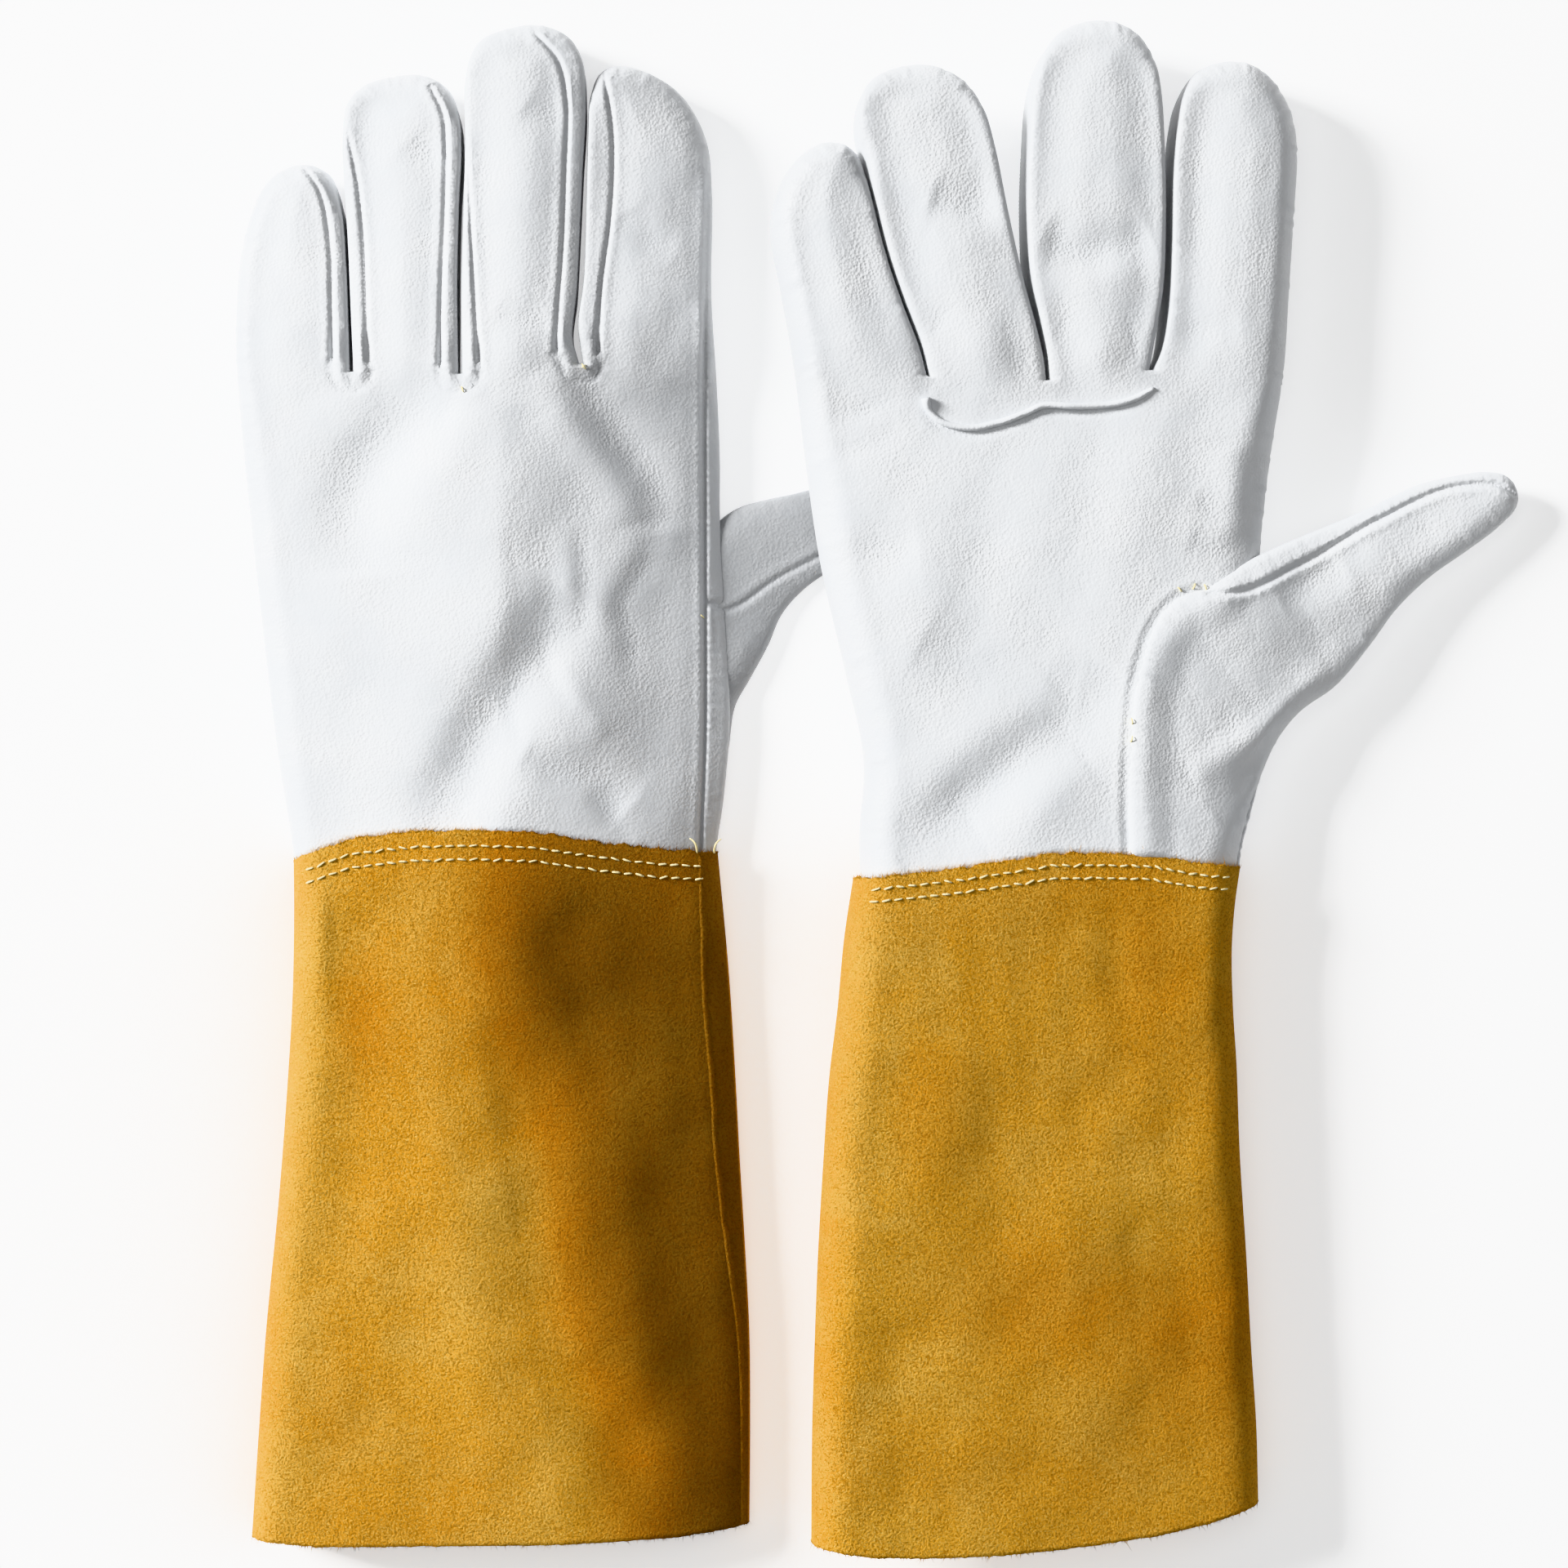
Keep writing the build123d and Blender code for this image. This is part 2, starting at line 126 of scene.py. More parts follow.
# The thumb with its root on the palm: out along the curved seam and the upper edge to the tip,
# back along the lower edge to the wrist.
THUMB_SEAM = [(63.8, -36), (63.6, -18), (63, -4), (63.6, 14), (65.5, 28), (70.5, 42), (77, 48.6),
              (84, 51)]
THUMB_UPPER = [(84, 51), (92, 56), (101, 60.6), (110, 64.4), (123, 69.6), (133, 74.2),
               (142.4, 78.6), (152, 81), (160.5, 82.2), (166.5, 81.2), (169.4, 77.5), (169.2, 73),
               (164, 67.4), (156.2, 61.6), (145.4, 54), (136.8, 45.8), (129.8, 36.4), (120.6, 25.6),
               (111, 18.6), (105, 11), (100.6, 1), (96.6, -12), (94.2, -24), (94.2, -36)]


# ---------------------------------------------------------------- curves and fields

BATCH = 4000             # points measured at a time, to spare memory


def part_way(first, second, low, high, t):
    """From first at t = low to second at t = high."""
    return (high - t) / (high - low) * first + (t - low) / (high - low) * second


def smooth_line(points, step=1.0):
    """Centripetal curve through the points, resampled to even steps."""
    p = np.array(points, float)
    p = np.vstack([2 * p[0] - p[1], p, 2 * p[-1] - p[-2]])
    fine = []
    for a, b, c, d in zip(p, p[1:], p[2:], p[3:]):
        gaps = [np.linalg.norm(v) ** 0.5 + 1e-9 for v in (b - a, c - b, d - c)]
        k0, k1, k2, k3 = np.cumsum([0, *gaps])
        t = np.linspace(k1, k2, 24, endpoint=False)[:, None]
        ab, bc, cd = part_way(a, b, k0, k1, t), part_way(b, c, k1, k2, t), part_way(c, d, k2, k3, t)
        fine.append(part_way(part_way(ab, bc, k0, k2, t), part_way(bc, cd, k1, k3, t), k1, k2, t))
    return resample(np.vstack([*fine, p[-2]]), step)


def resample(line, step):
    """The same line, with points at even steps along it."""
    length = np.concatenate([[0], np.cumsum(np.linalg.norm(np.diff(line, axis=0), axis=1))])
    count = max(2, int(round(length[-1] / step)) + 1)
    s = np.linspace(0, length[-1], count)
    return np.column_stack([np.interp(s, length, line[:, k]) for k in range(line.shape[1])])


def to_line(points, line):
    """Distance from each point to a line, and how far along the line its nearest point is."""
    a, b = line[:-1], line[1:]
    ab = b - a
    lengths = np.linalg.norm(ab, axis=1)
    starts = np.concatenate([[0], np.cumsum(lengths)[:-1]])
    best = np.full(len(points), np.inf)
    along = np.zeros(len(points))
    for first in range(0, len(points), BATCH):
        batch = slice(first, first + BATCH)
        part = points[batch, None, :] - a[None]
        t = np.clip((part * ab).sum(2) / np.maximum(lengths ** 2, 1e-12), 0, 1)
        gap = np.linalg.norm(part - t[..., None] * ab, axis=2)
        nearest = gap.argmin(1)
        rows = np.arange(len(nearest))
        best[batch] = gap[rows, nearest]
        along[batch] = starts[nearest] + t[rows, nearest] * lengths[nearest]
    return best, along


def inside(points, polygon):
    """Which points lie inside a closed polygon."""
    result = np.zeros(len(points), bool)
    x, y = points[:, 0], points[:, 1]
    for (x1, y1), (x2, y2) in zip(polygon, np.roll(polygon, -1, axis=0)):
        if y1 != y2:
            crosses = (y1 > y) != (y2 > y)
            result ^= crosses & (x < (x2 - x1) * (y - y1) / (y2 - y1) + x1)
    return result


def ease(low, high, value):
    """Smooth step: 0 at low, 1 at high, which may be the smaller of the two."""
    t = np.clip((value - low) / (high - low), 0, 1)
    return t * t * (3 - 2 * t)


def ripple(points, wavelength, seed, octaves=3):
    """Smooth random field of about unit height, from a few seeded plane waves."""
    rng = np.random.default_rng(seed)
    total = np.zeros(len(points))
    for octave in range(octaves):
        for _ in range(7):
            angle, phase = rng.uniform(0, 2 * math.pi, 2)
            k = 2 * math.pi / (wavelength * rng.uniform(0.75, 1.3)) * 1.8 ** octave
            wave = points[:, 0] * math.cos(angle) + points[:, 1] * math.sin(angle)
            total += np.sin(k * wave + phase) * 0.55 ** octave
    return total / 3.2


def stroke(points, line, width, height):
    """Soft ridge (or, below zero, valley) along a line, fading out at both ends."""
    line = smooth_line(line, 1.5)
    gap, along = to_line(points, line)
    total = np.linalg.norm(np.diff(line, axis=0), axis=1).sum()
    fade = np.sin(math.pi * np.clip(along / total, 0, 1)) ** 0.6
    return height * fade * np.exp(-(gap / width) ** 2)


def groove(points, line, depth=0.9, width=0.75, pitch=2.6, shoulder=0.3):
    """A turned seam: a narrow valley between two rolled edges, gathered at every stitch."""
    gap, along = to_line(points, line)
    pucker = 0.5 + 0.5 * np.cos(2 * math.pi * along / pitch)
    valley = -depth * np.exp(-(gap / width) ** 2)
    rolls = shoulder * (0.7 + 0.6 * pucker) * np.exp(-((gap - 2.2 * width) / (1.3 * width)) ** 2)
    return valley + rolls


# ---------------------------------------------------------------- placing in the frame

HAND_HEIGHT = 22.0       # palm face to back face in the CAD, in millimetres


def glove_axes(side):
    """Origin and axes that carry a glove's drawing into the row frame, in metres."""
    pattern = PATTERNS[side]
    middle, ring = joints[f"{side}_middle_bend"], joints[f"{side}_ring_bend"]
    normal = Vector(middle["axis"]).cross(Vector(ring["axis"]))
    if normal.z < 0 or normal.length < 1e-6:
        normal.negate()
    normal.normalize()
    across = Vector((0, 1, 0)).cross(normal).normalized()
    along = normal.cross(across)
    hinge = Vector(middle["pos_m"])
    depth = HAND_HEIGHT * MM if pattern["palm_up"] else 0.0
    x, y = (value * MM for value in pattern["hinge"])
    origin = hinge - across * x - along * y - normal * depth
    return [np.array(v) for v in (origin, across, along, normal)]


def place(side, drawn):
    """Row-frame points, in metres, of drawing points (x, y, height) in millimetres."""
    origin, across, along, normal = glove_axes(side)
    drawn = np.asarray(drawn, float) * MM
    return origin + drawn[:, :1] * across + drawn[:, 1:2] * along + drawn[:, 2:] * normal


def new_piece(name, points, faces, material, normals=None):
    """Smooth-shaded object in the scene, from points in the row frame."""
    mesh = bpy.data.meshes.new(name)
    mesh.from_pydata([tuple(p) for p in points], [], [tuple(f) for f in faces])
    mesh.update()
    mesh.polygons.foreach_set("use_smooth", np.ones(len(mesh.polygons), bool))
    if normals is not None:
        mesh.normals_split_custom_set_from_vertices([tuple(n) for n in normals])
    mesh.materials.append(material)
    piece = bpy.data.objects.new(name, mesh)
    bpy.context.scene.collection.objects.link(piece)
    return piece


# ---------------------------------------------------------------- inflated leather skins

RIM_ROWS = (0.3, 1.0, 2.1, 3.6)                       # rows of points beside the outline
SEAM_ROWS = (-1.5, -0.8, -0.35, 0, 0.35, 0.8, 1.5)    # and beside each seam


def sideways(steps):
    """Unit vectors to the right of the way each step goes."""
    aside = np.column_stack([steps[:, 1], -steps[:, 0]])
    return aside / np.maximum(np.linalg.norm(aside, axis=1), 1e-9)[:, None]


def triangulate(outline, cuts, spacing, seams):
    """Even triangles inside an outline, denser beside the rim and the seams."""
    rim = np.vstack(outline)
    edges = [(i, (i + 1) % len(rim)) for i in range(len(rim))]
    ring = np.vstack([rim, rim[:1]])
    inward = sideways(np.roll(rim, -1, axis=0) - np.roll(rim, 1, axis=0))
    bands = []
    for row in RIM_ROWS:
        points = rim + inward * row
        gap, _ = to_line(points, ring)
        points = points[(gap > row * 0.93) & inside(points, rim)]
        bands.append(points)
    low, high = rim.min(0), rim.max(0)
    columns = np.arange(low[0], high[0], spacing)
    lines = np.arange(low[1], high[1], spacing * 0.866)
    grid = np.array([(x + (j % 2) * spacing / 2, y) for j, y in enumerate(lines) for x in columns])
    grid = grid[inside(grid, rim)]
    gap, _ = to_line(grid, ring)
    grid = grid[gap > RIM_ROWS[-1] + 0.55 * spacing]
    for seam in seams:
        gap, _ = to_line(grid, seam)
        grid = grid[gap > 1.9]
        aside = sideways(np.gradient(seam, axis=0))
        for offset in SEAM_ROWS:
            points = seam + aside * offset
            points = points[inside(points, rim)]
            gap, _ = to_line(points, ring)
            bands.append(points[gap > RIM_ROWS[0] * 1.5])
    cut_points, cut_edges = [], []
    start = len(rim)
    for a, b in cuts:
        line = resample(np.array([rim[a], rim[b]]), 1.0)[1:-1]
        ids = [a, *range(start, start + len(line)), b]
        cut_edges += list(zip(ids, ids[1:]))
        cut_points.append(line)
        start += len(line)
        for k, band in enumerate(bands):
            gap, _ = to_line(band, line)
            bands[k] = band[gap > 0.4]
        gap, _ = to_line(grid, line)
        grid = grid[gap > 0.5]
    points = np.vstack([rim, *cut_points, *bands, grid])
    result = delaunay_2d_cdt([Vector(p) for p in points], edges + cut_edges, [], 1, 1e-5)
    flat = np.array([tuple(v) for v in result[0]])
    faces = np.array([f for f in result[2] if len(f) == 3])
    a, b, c = flat[faces[:, 0]], flat[faces[:, 1]], flat[faces[:, 2]]
    area = (b[:, 0] - a[:, 0]) * (c[:, 1] - a[:, 1]) - (b[:, 1] - a[:, 1]) * (c[:, 0] - a[:, 0])
    faces[area < 0] = faces[area < 0][:, ::-1]
    return flat, faces[np.abs(area) > 1e-7]


def relax(values, faces, rounds, held):
    """Laplacian smoothing of a height over the triangles, except where it is held."""
    pairs = np.vstack([faces[:, [0, 1]], faces[:, [1, 2]], faces[:, [2, 0]]])
    count = np.bincount(pairs.ravel(), minlength=len(values))
    for _ in range(rounds):
        total = np.bincount(pairs[:, 0], values[pairs[:, 1]], len(values))
        total += np.bincount(pairs[:, 1], values[pairs[:, 0]], len(values))
        mean = total / np.maximum(count, 1)
        values = np.where(held, values, 0.5 * values + 0.5 * mean)
    return values


def vertex_normals(points, faces):
    """Unit normals at the points, each face counting by its area."""
    a, b, c = (points[faces[:, k]] for k in range(3))
    face = np.cross(b - a, c - a)
    normals = np.zeros_like(points)
    for k in range(3):
        for axis in range(3):
            normals[:, axis] += np.bincount(faces[:, k], face[:, axis], len(points))
    return normals / np.maximum(np.linalg.norm(normals, axis=1), 1e-12)[:, None]


def two_sided(flat, faces, top, under, closed):
    """Joins the upper and the lower surface along their closed rim."""
    count = len(flat)
    twin = np.where(closed, np.arange(count), np.arange(count) + count)
    points = np.vstack([np.column_stack([flat, top]), np.column_stack([flat, under])])
    lower = twin[faces][:, ::-1]
    return points, np.vstack([faces, lower])


def dome(distance, radius, fullness=2.4):
    """Rise from a rolled edge: 0 at the edge, 1 beyond the radius."""
    q = np.clip(distance / radius, 0, 1)
    return (1 - (1 - q) ** fullness) ** (1 / fullness)


def spread(points, rim, values):
    """Carries values given along the rim over the inside, nearest rim points counting most."""
    result = np.empty(len(points))
    for first in range(0, len(points), BATCH):
        batch = slice(first, first + BATCH)
        gap = ((points[batch, None, :] - rim[None]) ** 2).sum(2) + 0.8
        weight = gap ** -1.6
        result[batch] = (weight * values).sum(1) / weight.sum(1)
    return result


# ---------------------------------------------------------------- seams, folds and creases

SEAMS = {
    "left": [
        [(-134.4, 110), (-134.6, 125), (-135.3, 142), (-137, 158), (-139.6, 170)],
        [(-115.2, 110), (-114.9, 130), (-114.1, 150), (-113.8, 166), (-114.6, 175), (-118, 182)],
        [(-105.2, 110), (-105.9, 122), (-106.9, 140), (-107.8, 155), (-108.8, 168)],
        [(-85.0, 114), (-84.5, 124), (-83.3, 140), (-82.6, 160), (-82.2, 178), (-84.5, 189),
         (-90.5, 196)],
        [(-74.2, 113), (-73.2, 130), (-71.2, 145), (-70.2, 158), (-70.4, 172), (-72.6, 186)],
        [(-143.4, 111), (-143.6, 125), (-144, 140), (-146.5, 154), (-151, 161)],
        [(-44.9, 168), (-45.4, 150), (-46.0, 128), (-46.5, 106), (-46.4, 60), (-46.4, 12),
         (-47.5, -16), (-47.7, -36)],
    ],
    "right": [
        [(13.6, 106), (10.5, 116), (6.5, 128), (2.4, 142), (-1.2, 155), (-4.2, 168)],
        [(38.4, 106), (37, 116), (33, 131), (28.6, 149), (25.6, 163), (22, 176)],
        [(46.2, 106), (43.5, 114), (40.6, 131), (39.6, 150), (40.4, 168), (42.5, 184)],
        [(66.2, 108), (68.4, 118), (70.2, 132), (70.8, 150), (70.4, 166), (68.6, 184)],
    ],
}

# Folds of the face that is seen: line, width and height (a valley is below zero).
FOLDS = {
    "left": [
        ([(-80, 96), (-85, 74), (-90, 50), (-98, 26), (-111, 2)], 13.0, -1.5),
        ([(-62, 60), (-60, 36), (-62, 10), (-70, -12)], 10.0, -0.9),
        ([(-113.5, 106), (-121, 96), (-131, 86), (-137.5, 72), (-136.8, 54)], 8.5, -3.2),
        ([(-104, 104), (-110, 92), (-118, 78), (-122, 60)], 7.0, 0.9),
        ([(-88, 108), (-83, 98), (-76, 88), (-69, 78), (-66, 68)], 5.0, 1.4),
        ([(-79.5, 107), (-74.5, 98), (-67, 88), (-60, 78), (-58, 66)], 5.0, -2.0),
        ([(-58.5, 72), (-61.8, 59), (-68, 47), (-66, 37), (-65, 23)], 2.0, -0.8),
        ([(-64, 68), (-67, 57), (-72, 46), (-71, 34)], 3.6, 0.4),
        ([(-79.6, 67), (-78, 54), (-78.6, 38)], 1.5, -1.0),
        ([(-83, 68), (-81.5, 54), (-82, 40)], 2.6, 0.6),
        ([(-97.8, 67), (-95.5, 55), (-93.8, 42)], 1.2, -0.45),
        ([(-119, -14), (-108, 2.8), (-101.5, 15), (-91.5, 33), (-80.5, 50)], 8.0, -3.9),
        ([(-108, 24), (-99, 40), (-92, 58)], 8.0, 1.0),
        ([(-97.8, 25), (-96.4, 17), (-94.2, 9)], 1.1, -1.0),
        ([(-89, 39), (-86, 27), (-76, 15)], 1.6, -1.0),
        ([(-84, 33), (-80, 22), (-72, 12)], 2.4, 0.7),
        ([(-93, 8), (-84, 4), (-76, 1.5), (-66, -6)], 5.0, -1.8),
        ([(-75, -2), (-70, -9), (-66, -16)], 2.4, -0.7),
        ([(-112, -8), (-107, -11), (-102, -14)], 1.3, -0.6),
        ([(-104, 1), (-108, -4), (-112, -10)], 1.2, -0.5),
        ([(-100, 124), (-94, 121), (-88, 123)], 3.4, -0.9),
        ([(-124, 167), (-120, 164), (-115, 165)], 4.0, -0.7),
        ([(-92, 178), (-87.5, 175), (-83, 176)], 4.0, -0.7),
        ([(-52, 128), (-56, 118), (-60, 108)], 4.5, -0.9),
        ([(-162, 140), (-156, 132), (-152, 120)], 4.0, -0.6),
        ([(-66, 150), (-61, 143), (-54, 140)], 3.6, -0.7),
        ([(-141, 104), (-147, 101), (-153, 101)], 1.4, -0.5),
        ([(-133, 105), (-129, 101), (-124, 100)], 1.3, -0.5),
        ([(-108, 104), (-103, 101), (-97, 101)], 1.3, -0.45),
        ([(-111, 104), (-113, 98), (-116, 92)], 1.4, -0.5),
    ],
    "right": [
        ([(3, -21), (12, -12.6), (24.5, -3), (37.2, 7.1), (48.2, 15.1), (60, 30)], 7.5, -2.4),
        ([(2, -4), (16, 4), (30, 14), (44, 26)], 8.0, 0.9),
        ([(24, -12), (38, -4), (52, 6)], 8.0, 1.1),
        ([(10, 38), (24, 30), (38, 24), (50, 22)], 9.0, -1.2),
        ([(-14, 52), (-4, 58), (8, 60)], 6.0, -0.9),
        ([(12, 152), (22, 148.5), (31, 151)], 5.5, -1.5),
        ([(13, 146), (22, 143), (31, 145)], 3.6, 0.5),
        ([(41, 142), (50, 137.5), (60, 138), (69, 142)], 5.5, -2.0),
        ([(43, 135), (53, 131.5), (66, 134)], 4.0, 0.6),
        ([(-25, 116), (-20, 115.4), (-16, 116.4)], 0.9, -0.5),
        ([(-26, 121), (-21, 120.4), (-17, 121.6)], 0.8, -0.5),
        ([(-27, 126.5), (-22, 126), (-18, 127)], 0.8, -0.45),
        ([(-28, 132), (-23, 131.4), (-19.5, 132)], 0.8, -0.5),
        ([(-28.5, 137.5), (-24, 137), (-21, 138)], 0.8, -0.4),
        ([(-29, 143), (-24.5, 142.2), (-21, 143)], 0.8, -0.4),
        ([(-16, 93), (-6, 95.5), (4, 100)], 1.6, -0.6),
        ([(-19, 84), (-8, 85.5), (4, 92)], 1.8, -0.5),
        ([(82, 74), (88, 70.5), (96, 71)], 2.4, -0.7),
        ([(80, 64), (88, 61), (97, 63)], 3.0, -0.8),
        ([(96, 88), (98.5, 76), (97.5, 62)], 2.4, -1.0),
        ([(90, 88), (92, 76), (91, 62)], 4.0, 0.5),
        ([(76, 120), (84, 118), (92, 121)], 4.0, -0.5),
        ([(14, 118), (22, 112), (32, 114)], 5.0, 0.7),
        ([(46, 116), (55, 111), (65, 113)], 5.0, 0.7),
    ],
}
WELT_LINES = {
    "left": [(-137.5, 97.5), (-132, 93.5), (-124, 92.4), (-114, 95), (-109, 97.6), (-98, 98),
             (-88, 99.6), (-80.5, 102.2)],
    "right": [(10.0, 99.2), (10.8, 96.6), (14, 93.4), (21.7, 91.7), (29, 93.1), (36, 95.6),
              (41, 97.7), (49.5, 97.6), (58.8, 98.2), (64.8, 99.7), (70, 102.4)],
}
THUMB_RIDGES = {
    "right": [
        ([(75, 36), (73.5, 18), (75, 5), (84, -3)], 7.0, -0.5),
        ([(80, 2), (92.6, 8.6), (104.2, 16), (118, 30)], 3.0, 1.6),
        ([(86, -8), (98, 2), (108, 11)], 4.8, -1.3),
        ([(112, 44), (122, 52), (136, 60)], 6.0, 0.7),
        ([(104, 48), (112, 52), (121, 57)], 4.0, -0.9),
        ([(121, 36), (128, 43), (134, 50)], 3.0, -0.6),
    ],
    "left": [
        ([(-34, 62), (-24, 66), (-12, 70)], 5.0, 0.6),
        ([(-36, 36), (-30, 44), (-22, 52)], 3.4, -0.6),
    ],
}
THUMB_SEAMS = {
    "right": [(84, 49.6), (91, 49.4), (98.4, 51.6), (106.2, 55.6), (114.6, 59.8), (126, 66.4),
              (134, 70.6), (142, 74.6), (149, 77.4), (157, 78.7), (163, 78.6), (167.5, 76.8)],
    "left": [(-44, 44.8), (-37.8, 46.8), (-27.5, 54.1), (-16.1, 60.2), (-2, 67.6), (12, 77),
             (22, 86)],
}
LEFT_THUMB = [
    [(-52, -36), (-52, 0), (-50, 40), (-49, 58), (-45, 66)],
    [(-45, 66), (-42.6, 69.6), (-37.4, 73.1), (-29.6, 75.4), (-22.3, 77), (-12, 80), (0, 84.6),
     (10, 89), (17, 91), (22.4, 89.6), (24.4, 85.4), (22.6, 80), (17, 74.6), (8, 68.6),
     (-2, 63), (-11, 57.8), (-20.2, 51.4), (-26, 44.8), (-29.6, 36.6), (-34.6, 27.4),
     (-38.4, 20.4), (-40, 10), (-42, -4), (-44, -18), (-45.4, -36)],
]


# How a glove's face falls away towards the thumb: run of the fall and its depth, then how
# much lower that edge of the outline lies.
LEANS = {"left": ((-100.0, -42.0, 12.5), 3.6), "right": ((60.0, 100.0, 1.0), 0.0)}


def lean(points, slope):
    """How far the face has fallen away at each point."""
    start, end, depth = slope
    share = np.clip((points[:, 0] - start) / (end - start), 0, 1)
    return depth * share ** 1.25 * (1 - 0.35 * ease(95, 125, points[:, 1]))


def folds(points, lines, depth=0.82):
    """Height of all the folds together; the narrow ones are the shallower for their width."""
    total = np.zeros(len(points))
    for line, width, height in lines:
        total += stroke(points, line, width + 1.3, height * depth * ease(-0.5, 3.5, width))
    return total


def fold_mark(height, faces, held):
    """How deep each point lies in a fold, for the grain: 0 on open leather, 1 in a crease."""
    soft = relax(height, faces, 14, held)
    return np.clip((soft - height) / 0.12, 0, 1)


def edge_of_cuff(side, x):
    """Height on the drawing of the cuff's upper edge."""
    left, right = CUFFS[side]["top_span"]
    edge = PATTERNS[side]["edge_heights"]
    places = np.linspace(left, right, len(edge))
    return np.interp(x, places, edge)


def paint(piece, name, values):
    """Gives each point of a piece a value that its material reads."""
    attribute = piece.data.attributes.new(name, "FLOAT", "POINT")
    attribute.data.foreach_set("value", np.asarray(values, np.float32))


# ---------------------------------------------------------------- materials

class Surface:
    """A material in the making. Each call adds a node and returns one of its outputs."""

    def __init__(self, name, plain_colour):
        self.material = bpy.data.materials.new(name)
        self.material.use_nodes = True
        self.material.diffuse_color = (*plain_colour, 1)
        tree = self.material.node_tree
        self.nodes, self.links = tree.nodes, tree.links
        self.shader = self.nodes["Principled BSDF"]
        self.place = self.node("TexCoord", {}, "Object")
        self.finish({"Base Color": plain_colour})

    def fill(self, inputs, values):
        """Sets inputs to numbers and colours, or links them to other nodes' outputs."""
        for name, value in values.items():
            if isinstance(value, bpy.types.NodeSocket):
                self.links.new(value, inputs[name])
            elif inputs[name].type == "RGBA":
                inputs[name].default_value = (*value, 1)
            else:
                inputs[name].default_value = value

    def node(self, kind, values, output=0, **settings):
        """Adds a node; settings such as its operation come before its inputs."""
        node = self.nodes.new("ShaderNode" + kind)
        for name, value in settings.items():
            setattr(node, name, value)
        self.fill(node.inputs, values)
        return node.outputs[output]

    def noise(self, scale, detail=4.0, roughness=0.55, distortion=0.0, output="Fac"):
        return self.node("TexNoise", {"Vector": self.place, "Scale": scale, "Detail": detail,
                                      "Roughness": roughness, "Distortion": distortion}, output)

    def rescale(self, source, low, high, to_low=0.0, to_high=1.0):
        return self.node("MapRange", {"Value": source, "From Min": low, "From Max": high,
                                      "To Min": to_low, "To Max": to_high}, "Result")

    def mix(self, factor, first, second, mode="MIX"):
        return self.node("Mix", {0: factor, 6: first, 7: second}, 2,
                         data_type="RGBA", blend_type=mode)

    def bump(self, height, distance, strength, below=None):
        under = {} if below is None else {"Normal": below}
        return self.node("Bump", {"Height": height, "Distance": distance,
                                  "Strength": strength, **under}, "Normal")

    def painted(self, name):
        """A value that paint() gave to the points."""
        return self.node("Attribute", {}, "Fac", attribute_name=name)

    def finish(self, values):
        """Fills the surface shader's own sockets."""
        self.fill(self.shader.inputs, values)
        return self.material


def leather_material():
    """White grain leather: pebbled, faintly cool, a little glossier on the high spots, darkened where
    the points carry painted shade.
    """
    look = Surface("white_leather", (0.68, 0.69, 0.70))
    wander = look.noise(260, 2, output="Color")
    shifted = look.node("VectorMath", {0: wander, 1: (0.0011, 0.0011, 0.0011), 2: look.place},
                        operation="MULTIPLY_ADD")
    pebble = look.node("TexVoronoi", {"Vector": shifted, "Scale": 1280, "Smoothness": 0.35},
                       "Distance", feature="SMOOTH_F1")
    pores = look.noise(2600, 3)
    wrinkle = look.noise(420, 3, 0.6, 0.6)
    patches = look.noise(55, 3)
    open_grain = look.rescale(patches, 0.35, 0.7, 0.14, 0.42)
    grain = look.node("Math", {0: look.painted("fold"), 1: 0.22, 2: open_grain},
                      operation="MULTIPLY_ADD")
    fine = look.bump(pores, 0.00010, 0.25)
    soft = look.bump(wrinkle, 0.00035, 0.15, fine)
    tint = look.mix(look.rescale(patches, 0.3, 0.75), (0.668, 0.684, 0.702), (0.716, 0.724, 0.734))
    return look.finish({
        "Base Color": look.mix(look.painted("shade"), tint, (0.0, 0.002, 0.006)),
        "Roughness": look.rescale(pebble, 0.0, 0.6, 0.42, 0.56),
        "Normal": look.bump(pebble, 0.00030, grain, soft),
        "Specular IOR Level": 0.42,
        "Sheen Weight": 0.06,
    })


